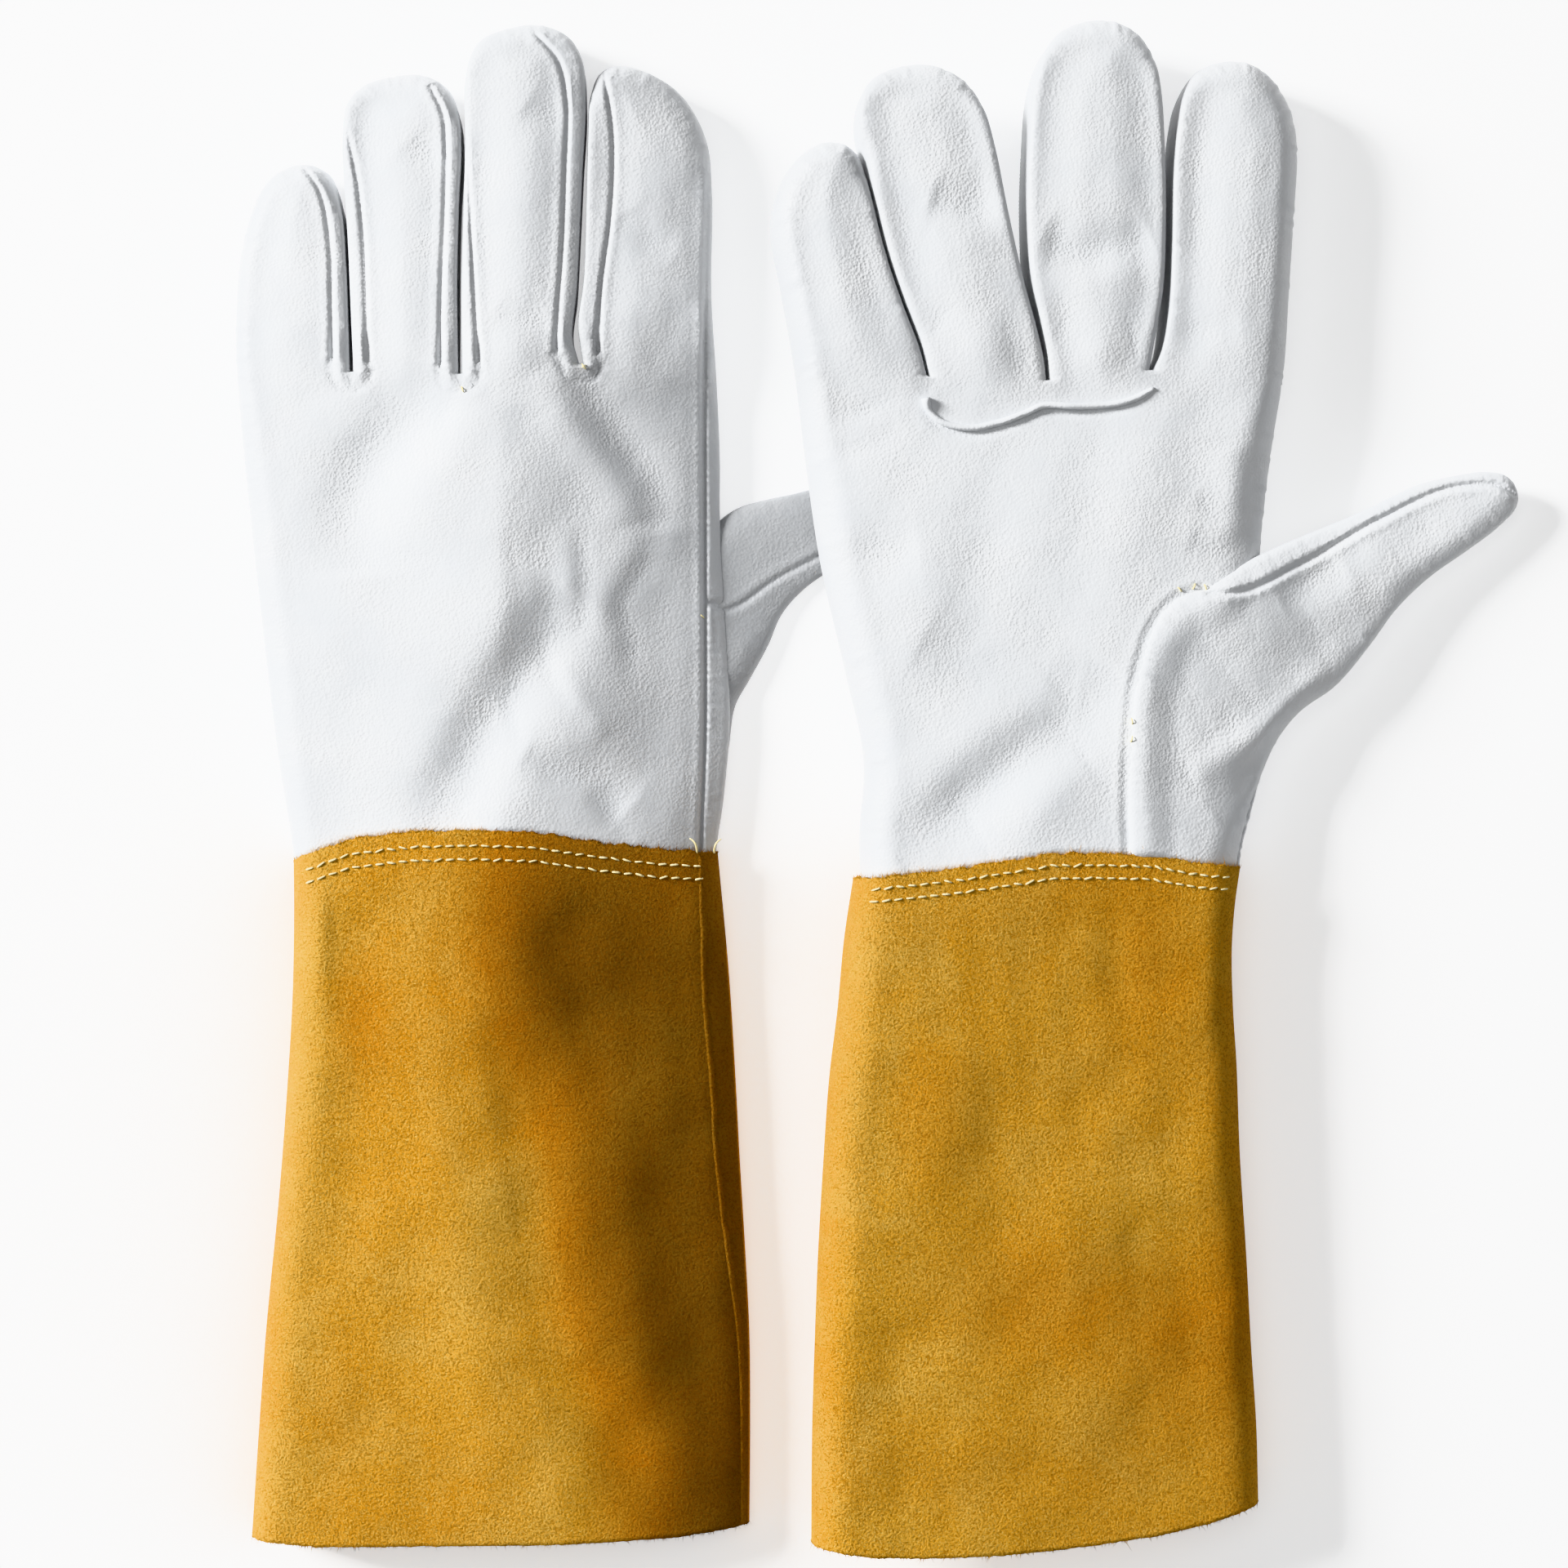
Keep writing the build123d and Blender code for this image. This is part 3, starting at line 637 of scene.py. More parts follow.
def suede_material():
    """Golden split leather: fibrous nap, darker and lighter strokes, a few pale specks, and dye
    patches with painted shade and painted light from the points' values.
    """
    look = Surface("yellow_suede", (0.66, 0.33, 0.03))
    deep, gold, pale = (0.56, 0.225, 0.016), (0.97, 0.510, 0.074), (0.99, 0.72, 0.215)
    clumps = look.noise(1500, 4, 0.66, 0.1)
    fibres = look.noise(2700, 4, 0.7, 0.5)
    strokes = look.noise(42, 4, 0.55, 0.8)
    clouds = look.noise(13, 3, 0.5, 0.4)
    base = look.mix(look.rescale(clouds, 0.34, 0.66), (0.83, 0.360, 0.034), gold)
    for source, low, high, most, colour in ((strokes, 0.42, 0.68, 0.35, pale),
                                            (clumps, 0.53, 0.39, 0.85, deep),
                                            (fibres, 0.51, 0.62, 0.70, pale)):
        base = look.mix(look.rescale(source, low, high, 0.0, most), base, colour)
    specks = look.node("TexVoronoi", {"Vector": look.place, "Scale": 330}).node.outputs
    lint = look.node("Math", {0: look.rescale(specks["Distance"], 0.050, 0.020),
                              1: look.rescale(specks["Color"], 0.86, 0.90)}, operation="MULTIPLY")
    base = look.mix(lint, base, (0.80, 0.72, 0.50))
    # Painted shade and dye: above zero the points' value darkens the suede; below zero it paints it
    # paler, partly painted light.
    dye_and_painted_shading = look.painted("dye_and_painted_shading")
    for low, high, dye_and_shading_tone in ((0.0, 0.5, (0.84, 0.66, 0.42)), (0.35, 1.2, (0.35, 0.38, 0.52))):
        dyed = look.mix(1.0, base, dye_and_shading_tone, "MULTIPLY")
        base = look.mix(look.rescale(dye_and_painted_shading, low, high), base, dyed)
    base = look.mix(look.rescale(dye_and_painted_shading, 0.0, -1.0, 0.0, 0.6), base, (0.95, 0.68, 0.20))
    fine = look.bump(fibres, 0.00050, 0.8)
    mid = look.bump(clumps, 0.0022, 1.0, fine)
    return look.finish({
        "Base Color": base,
        "Normal": look.bump(look.noise(330, 3, 0.5, 0.4), 0.0012, 0.35, mid),
        "Roughness": 0.93,
        "Specular IOR Level": 0.12,
        "Sheen Weight": 0.08,
        "Sheen Roughness": 0.55,
        "Sheen Tint": (1.0, 0.72, 0.30),
    })


def thread_material():
    """Twisted cream sewing thread."""
    look = Surface("cream_thread", (0.84, 0.74, 0.40))
    plies = look.node("TexWave", {"Vector": look.place, "Scale": 900, "Distortion": 1.5}, "Fac",
                      wave_type="BANDS", bands_direction="DIAGONAL")
    return look.finish({
        "Base Color": look.mix(look.noise(300, 3), (0.72, 0.60, 0.26), (0.90, 0.84, 0.56)),
        "Normal": look.bump(plies, 0.00012, 0.6),
        "Roughness": 0.6,
    })


LEATHER, SUEDE, THREAD = leather_material(), suede_material(), thread_material()


# ---------------------------------------------------------------- cuffs

CUFFS = {
    "left": {
        "top_span": (-154.7, -43.2),
        "near_side": [(-20.5, -154.7), (-34, -154.6), (-56, -155.0), (-83, -156.6),
                      (-109, -158.6), (-144, -162.0), (-169, -163.8), (-198, -165.7)],
        "far_side": [(-18.3, -43.0), (-51, -40.0), (-78, -38.3), (-99, -37.2), (-124, -35.7),
                     (-146, -34.6), (-170, -34.4), (-196.5, -34.6)],
        "mouth": [-197.9, -199.5, -199.4, -199.2, -199.0, -198.6, -198.2, -196.2],
        "rows": (3.9, 7.3),
        "ridge": [(-20, -114), (-60, -108), (-110, -98), (-150, -92), (-198, -82)],
        "fall": 12.5,
        "folds": [
            ([(-143.4, -13), (-143.0, -30), (-142.0, -62)], 1.6, -1.0),
            ([(-147, -16), (-146.5, -36), (-146, -64)], 3.4, 0.8),
            ([(-137, -26), (-136, -60), (-139, -100), (-142, -150)], 6.0, -1.1),
            ([(-118, -30), (-116, -70), (-110, -120), (-104, -160), (-101, -199)], 9.0, 1.7),
            ([(-96, -58), (-92, -90), (-90, -130), (-84, -170)], 8.0, -2.0),
            ([(-84, -34), (-80, -60), (-74, -84)], 5.0, -1.2),
            ([(-72, -60), (-70, -100), (-66, -140), (-56, -180)], 8.0, 1.1),
            ([(-80, -150), (-72, -170), (-62, -186), (-50, -199)], 6.0, -1.5),
            ([(-56, -90), (-54, -130), (-48, -170)], 5.0, -1.0),
        ],
        "welt": [(-47.4, -19.2), (-46.9, -38.8), (-46.4, -55.6), (-44.3, -81.7), (-43.2, -99.4),
                 (-40.2, -124.6), (-37.4, -146.2), (-36.6, -163.9), (-36.4, -197.0)],
        "welt_face": 1,
    },
    "right": {
        "top_span": (-6.6, 95.2),
        "near_side": [(-25.0, -7.4), (-41, -9.8), (-59, -11.5), (-77, -13.7), (-98, -15.2),
                      (-124, -16.7), (-148, -17.6), (-169, -18.2), (-197, -18.4)],
        "far_side": [(-22.2, 95.0), (-32, 93.6), (-44, 92.8), (-60, 93.2), (-74, 94.1),
                     (-98, 95.0), (-124, 96.7), (-148, 98.0), (-169, 99.4), (-188.5, 99.9)],
        "mouth": [-197.6, -199.9, -200.3, -200.0, -199.2, -197.8, -196.0, -193.0, -188.6],
        "rows": (3.1, 6.4),
        "ridge": [(-20, 20), (-110, 24), (-198, 30)],
        "fall": 2.0,
        "folds": [
            ([(54, -84.2), (62, -84.0), (71, -84.4)], 0.7, -0.5),
            ([(62, -22), (60, -44), (66, -66)], 5.0, -0.9),
            ([(8, -40), (14, -80), (10, -120)], 9.0, 0.9),
            ([(30, -70), (28, -110), (34, -150)], 9.0, -1.0),
            ([(46, -100), (52, -140), (50, -180)], 9.0, 0.8),
            ([(62, -116), (74, -128), (86, -140)], 7.0, -0.9),
            ([(84, -50), (86, -80), (82, -110)], 6.0, 0.8),
            ([(0, -140), (6, -160), (4, -190)], 8.0, -0.7),
        ],
        "welt": [(84.6, -22.4), (82.8, -44), (84.0, -80), (86.5, -124), (89.2, -170),
                 (89.6, -190)],
        "welt_face": -1,
    },
}
# Patches painted darker (above zero) or paler on the suede: some are uneven dye, others are painted
# shade where a face or valley turns from the lamp and painted light on edges and ridges facing it.
# Centre, radii, amount.
DYE_AND_SHADING_PATCHES = {
    "left": [((-44, -112), (16, 150), 0.35), ((-80, -120), (10, 34), 0.25),
             ((-92, -40), (20, 24), 0.65), ((-66, -30), (16, 26), 0.35),
             ((-137, -62), (9, 18), 0.40), ((-96, -74), (10, 22), 0.25),
             ((-103, -116), (9, 30), -0.30), ((-154, -80), (9, 110), -0.45),
             ((-84, -172), (10, 22), -0.25), ((-146, -160), (8, 26), 0.20),
             ((-60, -172), (8, 18), -0.45)],
    "right": [((12, -88), (14, 22), 0.35), ((37, -137), (24, 16), 0.40),
              ((70, -46), (13, 22), 0.40), ((78, -146), (14, 20), 0.35),
              ((94, -120), (8, 90), 0.40), ((63, -110), (16, 14), -0.25),
              ((-8, -70), (8, 60), -0.40), ((44, -30), (30, 9), 0.15),
              ((24, -176), (22, 12), 0.15), ((-10, -150), (8, 20), 0.10)],
}
# Painted shade on the suede: how strongly the side towards the thumb is painted darker.
SHADED = {"left": 1.0, "right": 0.12}      # how much darker the side towards the thumb is
CUFF_MIDDLE = 11.3        # height of the cuff's half-way plane
CUFF_RISE = 11.0          # from that plane to either face
CUFF_TURN = 11.0          # how far in from a side the faces are level
CUFF_COLUMNS = 300        # points in a ring of the cuff
SUEDE_THICKNESS = 1.6


def line_at(pairs, value):
    """Smooth curve through (at, value) pairs, read at the given places."""
    line = smooth_line(pairs, 2.0)
    order = np.argsort(line[:, 0])
    return np.interp(value, line[order, 0], line[order, 1])


def cuff_ends(side, x, across):
    """Where the cuff's upper edge and its mouth lie: at x, and at a share of the mouth."""
    mouth = CUFFS[side]["mouth"]
    return edge_of_cuff(side, x), np.interp(across, np.linspace(0, 1, len(mouth)), mouth)


def cuff_sides(side, y):
    """Where the cuff's two long edges lie at y."""
    cuff = CUFFS[side]
    return line_at(cuff["near_side"], y), line_at(cuff["far_side"], y)


def cuff_face(side, across, down, face):
    """Drawing points of a cuff face: across runs 0-1 side to side, down 0-1 edge to mouth."""
    cuff = CUFFS[side]
    top_left, top_right = cuff["top_span"]
    top, mouth = cuff_ends(side, top_left + across * (top_right - top_left), across)
    y = top + down * (mouth - top)
    near, far = cuff_sides(side, y)
    x = near + across * (far - near)
    gap = np.minimum(x - near, far - x)
    rise = dome(np.maximum(gap, 0), CUFF_TURN)
    points = np.column_stack([x, y])
    ridge = line_at(cuff["ridge"], y)
    past = np.clip((x - ridge) / (far - ridge), 0, 1)
    drop = cuff["fall"] * past ** 1.2 * (0.8 + 0.2 * ease(0, 0.2, down))
    shape = CUFF_MIDDLE - drop / 2 + face * (CUFF_RISE - drop / 2) * rise
    inward = ease(0, 9, gap)
    if face > 0:
        lumps = folds(points, cuff["folds"], 0.75) + 0.30 * ripple(points, 46, 5, 3)
    else:
        lumps = 0.25 * np.abs(ripple(points, 46, 9, 3))
    settle = ease(0.0, 0.12, down)
    return np.column_stack([points, shape + inward * lumps * settle])


def cuff_tube(side, rows, inset):
    """Closed rings of the cuff, from the raw upper edge to the mouth, set in by inset."""
    half = CUFF_COLUMNS // 2
    turn = np.linspace(0, 1, half + 1)
    across = 0.65 * turn + 0.35 * (0.5 - 0.5 * np.cos(math.pi * turn))
    down = np.linspace(0, 1, rows)
    u, v = np.meshgrid(across, down)
    rng = np.random.default_rng(11 if side == "left" else 12)
    upper = cuff_face(side, u.ravel(), v.ravel(), 1).reshape(rows, half + 1, 3)
    lower = cuff_face(side, u.ravel(), v.ravel(), -1).reshape(rows, half + 1, 3)
    rings = np.concatenate([upper, lower[:, -2:0:-1]], axis=1)
    count = rings.shape[1]
    jag = rng.normal(0, 0.16, count) + 0.22 * ripple(rings[0, :, :2], 7, 17, 2)
    rings[0, :, 1] += jag
    rings[1, :, 1] += 0.5 * jag
    rings[-1, :, 1] += 0.3 * rng.normal(0, 0.25, count)
    if inset:
        around = np.roll(rings, -1, axis=1) - np.roll(rings, 1, axis=1)
        outward = np.stack([-around[..., 2], np.zeros(around.shape[:2]), around[..., 0]], axis=2)
        outward /= np.maximum(np.linalg.norm(outward, axis=2), 1e-9)[..., None]
        rings = rings - outward * inset
    return rings


def ring_faces(rows, count, first=0, flip=False):
    """Quads between rows of points, each row closed into a ring."""
    faces = []
    for r in range(rows - 1):
        for c in range(count):
            a, b = first + r * count + c, first + r * count + (c + 1) % count
            quad = (a, b, b + count, a + count)
            faces.append(quad[::-1] if flip else quad)
    return faces


def make_cuff(side):
    """The suede tube with its raw edges, the loose fibres on them, its dye patches and the painted
    shade and painted light on its faces.
    """
    outer = cuff_tube(side, 160, 0.0)
    inner = cuff_tube(side, 24, SUEDE_THICKNESS)
    count, rows_out, rows_in = outer.shape[1], len(outer), len(inner)
    points = np.vstack([outer.reshape(-1, 3), inner.reshape(-1, 3)])
    start = rows_out * count
    faces = ring_faces(rows_out, count, flip=True) + ring_faces(rows_in, count, start)
    last_out, last_in = (rows_out - 1) * count, start + (rows_in - 1) * count
    for c in range(count):
        d = (c + 1) % count
        faces.append((c, d, start + d, start + c))
        faces.append((last_out + d, last_out + c, last_in + c, last_in + d))
    fibres, blades = fringe(side, outer, len(points))
    points = np.vstack([points, fibres])
    piece = new_piece(f"{side}_cuff_suede", place(side, points), faces + blades, SUEDE)
    # Painted shade: the suede is painted darker past the ridge, on the side towards the thumb, less
    # near the upper edge.
    ridge = line_at(CUFFS[side]["ridge"], points[:, 1])
    dye_and_shading_tone = SHADED[side] * ease(0, 34, points[:, 0] - ridge)
    dye_and_shading_tone *= 0.72 + 0.28 * ease(-24, -60, points[:, 1])
    # Then the patches, partly uneven dye and partly painted shade and painted light; the inner face
    # gets a faint even value.
    for centre, radii, amount in DYE_AND_SHADING_PATCHES[side]:
        away = (((points[:, :2] - centre) / radii) ** 2).sum(1)
        dye_and_shading_tone += 0.8 * amount * np.exp(-away)
    paint(piece, "dye_and_painted_shading", np.where(points[:, 2] > CUFF_MIDDLE - 6, dye_and_shading_tone, 0.1))
    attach(piece, f"{side}_hand")
    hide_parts(f"{side}_cuff")


def fringe(side, rings, first):
    """Loose suede fibres standing out of the raw upper edge and the mouth."""
    rng = np.random.default_rng(31 if side == "left" else 32)
    points, blades = [], []
    for row, way, amount in ((0, 1.0, 1500), (-1, -1.0, 900)):
        ring = rings[row]
        for _ in range(amount):
            c = rng.integers(len(ring))
            t = rng.uniform()
            root = ring[c] * (1 - t) + ring[(c + 1) % len(ring)] * t
            root = root + (0, -0.35 * way, rng.uniform(-0.7, 0.1) * np.sign(root[2] - CUFF_MIDDLE))
            length = rng.gamma(2.2, 0.28) + 0.3
            lean = rng.normal(0, 0.55)
            lift = rng.normal(0.1, 0.35) * np.sign(root[2] - CUFF_MIDDLE)
            tip = root + length * np.array([lean, way, lift])
            wide = np.array([rng.uniform(0.06, 0.13), 0, 0])
            high = np.array([0, 0, 0.09])
            at = first + len(points)
            points += [root - wide, root + wide, root + high, tip]
            blades += [(at, at + 1, at + 3), (at + 1, at + 2, at + 3), (at + 2, at, at + 3)]
    return np.array(points), blades


# ---------------------------------------------------------------- threads and tubes

def tube(path, radius, sides=8):
    """Round-ended tube along a path of drawing points."""
    path = np.asarray(path, float)
    forward = np.gradient(path, axis=0)
    forward /= np.maximum(np.linalg.norm(forward, axis=1), 1e-9)[:, None]
    up = np.tile([0.0, 0.0, 1.0], (len(path), 1))
    aside = np.cross(forward, up)
    aside /= np.maximum(np.linalg.norm(aside, axis=1), 1e-9)[:, None]
    up = np.cross(aside, forward)
    radius = np.broadcast_to(np.asarray(radius, float), len(path))
    angle = np.linspace(0, 2 * math.pi, sides, endpoint=False)
    ring = np.cos(angle)[None, :, None] * aside[:, None] + np.sin(angle)[None, :, None] * up[:, None]
    points = (path[:, None] + ring * radius[:, None, None]).reshape(-1, 3)
    faces = ring_faces(len(path), sides, flip=True)
    points = np.vstack([points, path[0], path[-1]])
    a, b, last = len(points) - 2, len(points) - 1, (len(path) - 1) * sides
    for c in range(sides):
        d = (c + 1) % sides
        faces += [(a, c, d), (b, last + d, last + c)]
    return points, faces


def gather(parts):
    """One mesh from many."""
    points, faces, first = [], [], 0
    for part_points, part_faces in parts:
        points.append(part_points)
        faces += [tuple(i + first for i in face) for face in part_faces]
        first += len(part_points)
    return np.vstack(points), faces


# Thread ends left in the seams of a hand: x, y, direction.
LOOSE_ENDS = {
    "left": [(-78.6, 108.6, 0.6), (-77.4, 108.4, 2.2), (-109.6, 103.4, -1.2), (-46.6, 43.6, 2.4)],
    "right": [(77.6, 49.8, 2.4), (80.6, 50.4, 1.2), (84.2, 50.2, 2.0), (64.4, 15.2, 1.8),
              (64.0, 10.6, 1.4)],
}


CUFF_LENGTH = 178.0        # from the upper edge to the mouth
STITCH_PITCH = 3.0
STITCH_HALF = 1.18
STITCH_MARGIN = 0.035      # share of the cuff's width without stitches, on either side
THREAD_RADIUS = 0.27
TAILS = [(-48.3, -18.6, -1.0), (-43.9, -18.8, 1.0)]    # at the left cuff: x, y, way it bends


def make_stitching(side, flat, height):
    """Two rows of run stitches right round the cuff, each stitch sunk at both ends."""
    rng = np.random.default_rng(21 if side == "left" else 22)
    parts = []
    left, right = CUFFS[side]["top_span"]
    width, sewn = right - left, 1 - 2 * STITCH_MARGIN
    count = int(sewn * width / STITCH_PITCH)
    t = np.linspace(-1, 1, 9)
    for face in (1, -1):
        for row in CUFFS[side]["rows"]:
            for k in range(count):
                centre = STITCH_MARGIN + (k + 0.5) * sewn / count
                slant = rng.normal(0, 0.0012)
                line = cuff_face(side, centre + t * (STITCH_HALF / width),
                                 row / CUFF_LENGTH + slant * t, face)
                line[:, 2] += face * (0.30 - 0.62 * np.abs(t) ** 3)
                radius = THREAD_RADIUS * np.sqrt(np.clip(1.04 - np.abs(t) ** 4, 0.05, 1))
                parts.append(tube(line, radius * rng.uniform(0.9, 1.12), 6))
    t = np.linspace(0, 1, 14)
    for x, y, bend in TAILS if side == "left" else []:
        across = np.array([(x - left) / width])
        root = cuff_face(side, across, np.array([0.004]), 1)[0, 2]
        line = np.column_stack([x + bend * (0.3 + 1.6 * t ** 2) * t,
                                y + 5.2 * t - 1.3 * t ** 2,
                                root - 0.2 + 1.8 * np.sin(2.4 * t)])
        parts.append(tube(line, 0.30 * (1 - 0.4 * t), 6))
    t = np.linspace(0, 1, 8)
    for x, y, turn in LOOSE_ENDS[side]:
        root = height[((flat - (x, y)) ** 2).sum(1).argmin()]
        line = np.column_stack([x + 1.5 * t * math.cos(turn), y + 1.5 * t * math.sin(turn),
                                root + 0.9 * np.sin(2.6 * t)])
        parts.append(tube(line, 0.22 * (1 - 0.3 * t), 6))
    points, faces = gather(parts)
    piece = new_piece(f"{side}_cuff_stitches", place(side, points), faces, THREAD)
    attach(piece, f"{side}_hand")
    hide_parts(f"{side}_cuff_stitching")


WELT_PROFILE = [(-1.1, -0.6), (-0.85, -0.05), (-0.6, 0.28), (-0.25, 0.45), (0.1, 0.4),
                (0.36, 0.16), (0.5, -0.12), (0.7, -0.3), (0.9, -0.6)]


def make_cuff_welt(side):
    """The closing seam: a narrow rolled ridge down one face of the cuff."""
    face = CUFFS[side]["welt_face"]
    line = smooth_line(CUFFS[side]["welt"], 1.2)
    near, far = cuff_sides(side, line[:, 1])
    across = (line[:, 0] - near) / (far - near)
    top, mouth = cuff_ends(side, line[:, 0], across)
    down = np.clip((line[:, 1] - top) / (mouth - top), 0.004, 0.998)
    path = cuff_face(side, across, down, face)
    wobble = 0.12 * ripple(path[:, :2], 9, 41, 2)
    points = np.stack([path + np.column_stack([x + wobble, np.zeros(len(path)),
                                               face * (z + 0.4 * wobble)])
                       for x, z in WELT_PROFILE], axis=1)
    count = len(WELT_PROFILE)
    last = (len(path) - 1) * count
    ends = [tuple(range(count)), tuple(range(last, last + count))[::-1]]
    piece = new_piece(f"{side}_cuff_closing_seam", place(side, points.reshape(-1, 3)),
                      ring_faces(len(path), count, flip=face < 0) + ends, SUEDE)
    # Painted shade on the closing seam, a little darker than the side it runs down.
    paint(piece, "dye_and_painted_shading", np.full(points.size // 3, SHADED[side] + 0.1))
    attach(piece, f"{side}_hand")
    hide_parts(f"{side}_cuff_seam_welt")


# ---------------------------------------------------------------- hands, fingers and thumbs

RIM = 9.6            # height of the glove's outline
FACE = 21.4          # height of the upper face
SOLE = 0.25          # height of the face below
FINGER_ROLL = 8.5    # how far in from the outline a finger is level
PALM_ROLL = 15.0     # the same for the palm
CROTCH_ROLL = 5.0    # and for the crotches between the fingers
BETWEEN_RISE = 10.4  # how much higher the outline lies between two fingers
RIM_DROP = 1.4       # but at least this far below the face
SEAM_DEPTHS = [0.6] * 6 + [1.0]      # in the order of SEAMS; the last is the palm hide's edge
GRID = 1.25          # spacing of the skin's points


LAMP_SIDE = (-0.92, 0.39)      # the way to the key light, on the drawing
UNDERSIDE_FOLD = 0.3           # how strong the grain is all over the hidden face
EDGE_SHADE, THUMB_EDGE_SHADE = 0.32, 0.20      # share of the colour taken off lamp-side edges
LEFT_THUMB_SHADE = 0.54        # and off the whole left thumb
TUCK_IN, TUCK_DOWN = 0.052, 0.26     # share lost in width and in height, inside the cuff
UNDER_THUMB = 8.0              # how far the right palm lies lower under the thumb
BEND = (1.0, 27.0)             # where a finger's bend starts and ends, from its base line


def tuck_in(side, flat, height):
    """Draws the leather in, under the cuff's upper edge."""
    left, right = CUFFS[side]["top_span"]
    deep = ease(-0.6, 2.4, edge_of_cuff(side, flat[:, 0]) - flat[:, 1])
    middle = (left + right) / 2
    flat = flat.copy()
    flat[:, 0] = middle + (flat[:, 0] - middle) * (1 - TUCK_IN * deep)
    return flat, CUFF_MIDDLE + (height - CUFF_MIDDLE) * (1 - TUCK_DOWN * deep)


def lamp_edge_shade_mask(flat, rim, gap, width):
    """Where the leather turns over an edge that looks up and to the left, towards the lamp, 0 to 1: a
    mask for painted shade.
    """
    outward = -sideways(np.gradient(rim, axis=0))
    facing = np.clip(outward @ LAMP_SIDE, 0, 1)
    return spread(flat, rim, facing) * ease(width, 1, gap)


def edge_roll(runs, starts, rim):
    """How far in from each rim point the skin is level, and how near it is to another finger."""
    roll = PALM_ROLL + (FINGER_ROLL - PALM_ROLL) * ease(70, 112, rim[:, 1])
    tips = [starts[k] + int(run[:, 1].argmax()) for k, run in enumerate(runs)]
    places = np.arange(len(rim))
    between = ease(tips[0] + 4, tips[0] + 22, places) * ease(tips[3] - 4, tips[3] - 22, places)
    for tip in tips[1:3]:
        between *= np.clip((np.abs(places - tip) - 6) / 16, 0, 1)
    lit = ease(tips[0] + 2, tips[0] - 12, places)
    return roll * (1 - 0.74 * between) * (1 - 0.42 * lit), between


def hand_relief(side, flat, gap, inner, near, seam_depth):
    """What stands out of the upper face or is pressed into it; near is to a crotch."""
    relief = inner * folds(flat, FOLDS[side]) + 0.9 * ease(4, 15, gap) * ease(96, 116, flat[:, 1])
    if side == "left":
        relief += ease(13, 7, near) * (0.55 * np.exp(-((gap - 2.4) / 1.2) ** 2)
                                       - 0.65 * np.exp(-((gap - 4.6) / 0.7) ** 2))
        relief += ease(0.3, 2.5, gap) * seam_depth
    relief += inner * (0.30 * ripple(flat, 48, 3 if side == "left" else 4, 2)
                       + 0.03 * ripple(flat, 11, 13, 2))
    if side == "left":
        return relief + stroke(flat, [(-46.5, 48.4), (-43.5, 47.2), (-40, 45.6)], 0.7, -1.2)
    thumb_seam, welt = smooth_line(THUMB_SEAM), smooth_line(WELT_LINES["right"])
    relief += groove(flat, thumb_seam - (0.5, 0), 0.45, 0.8, 3.0, 0.15)
    return relief + stroke(flat, welt - (0, 1.3), 0.9, -0.9)


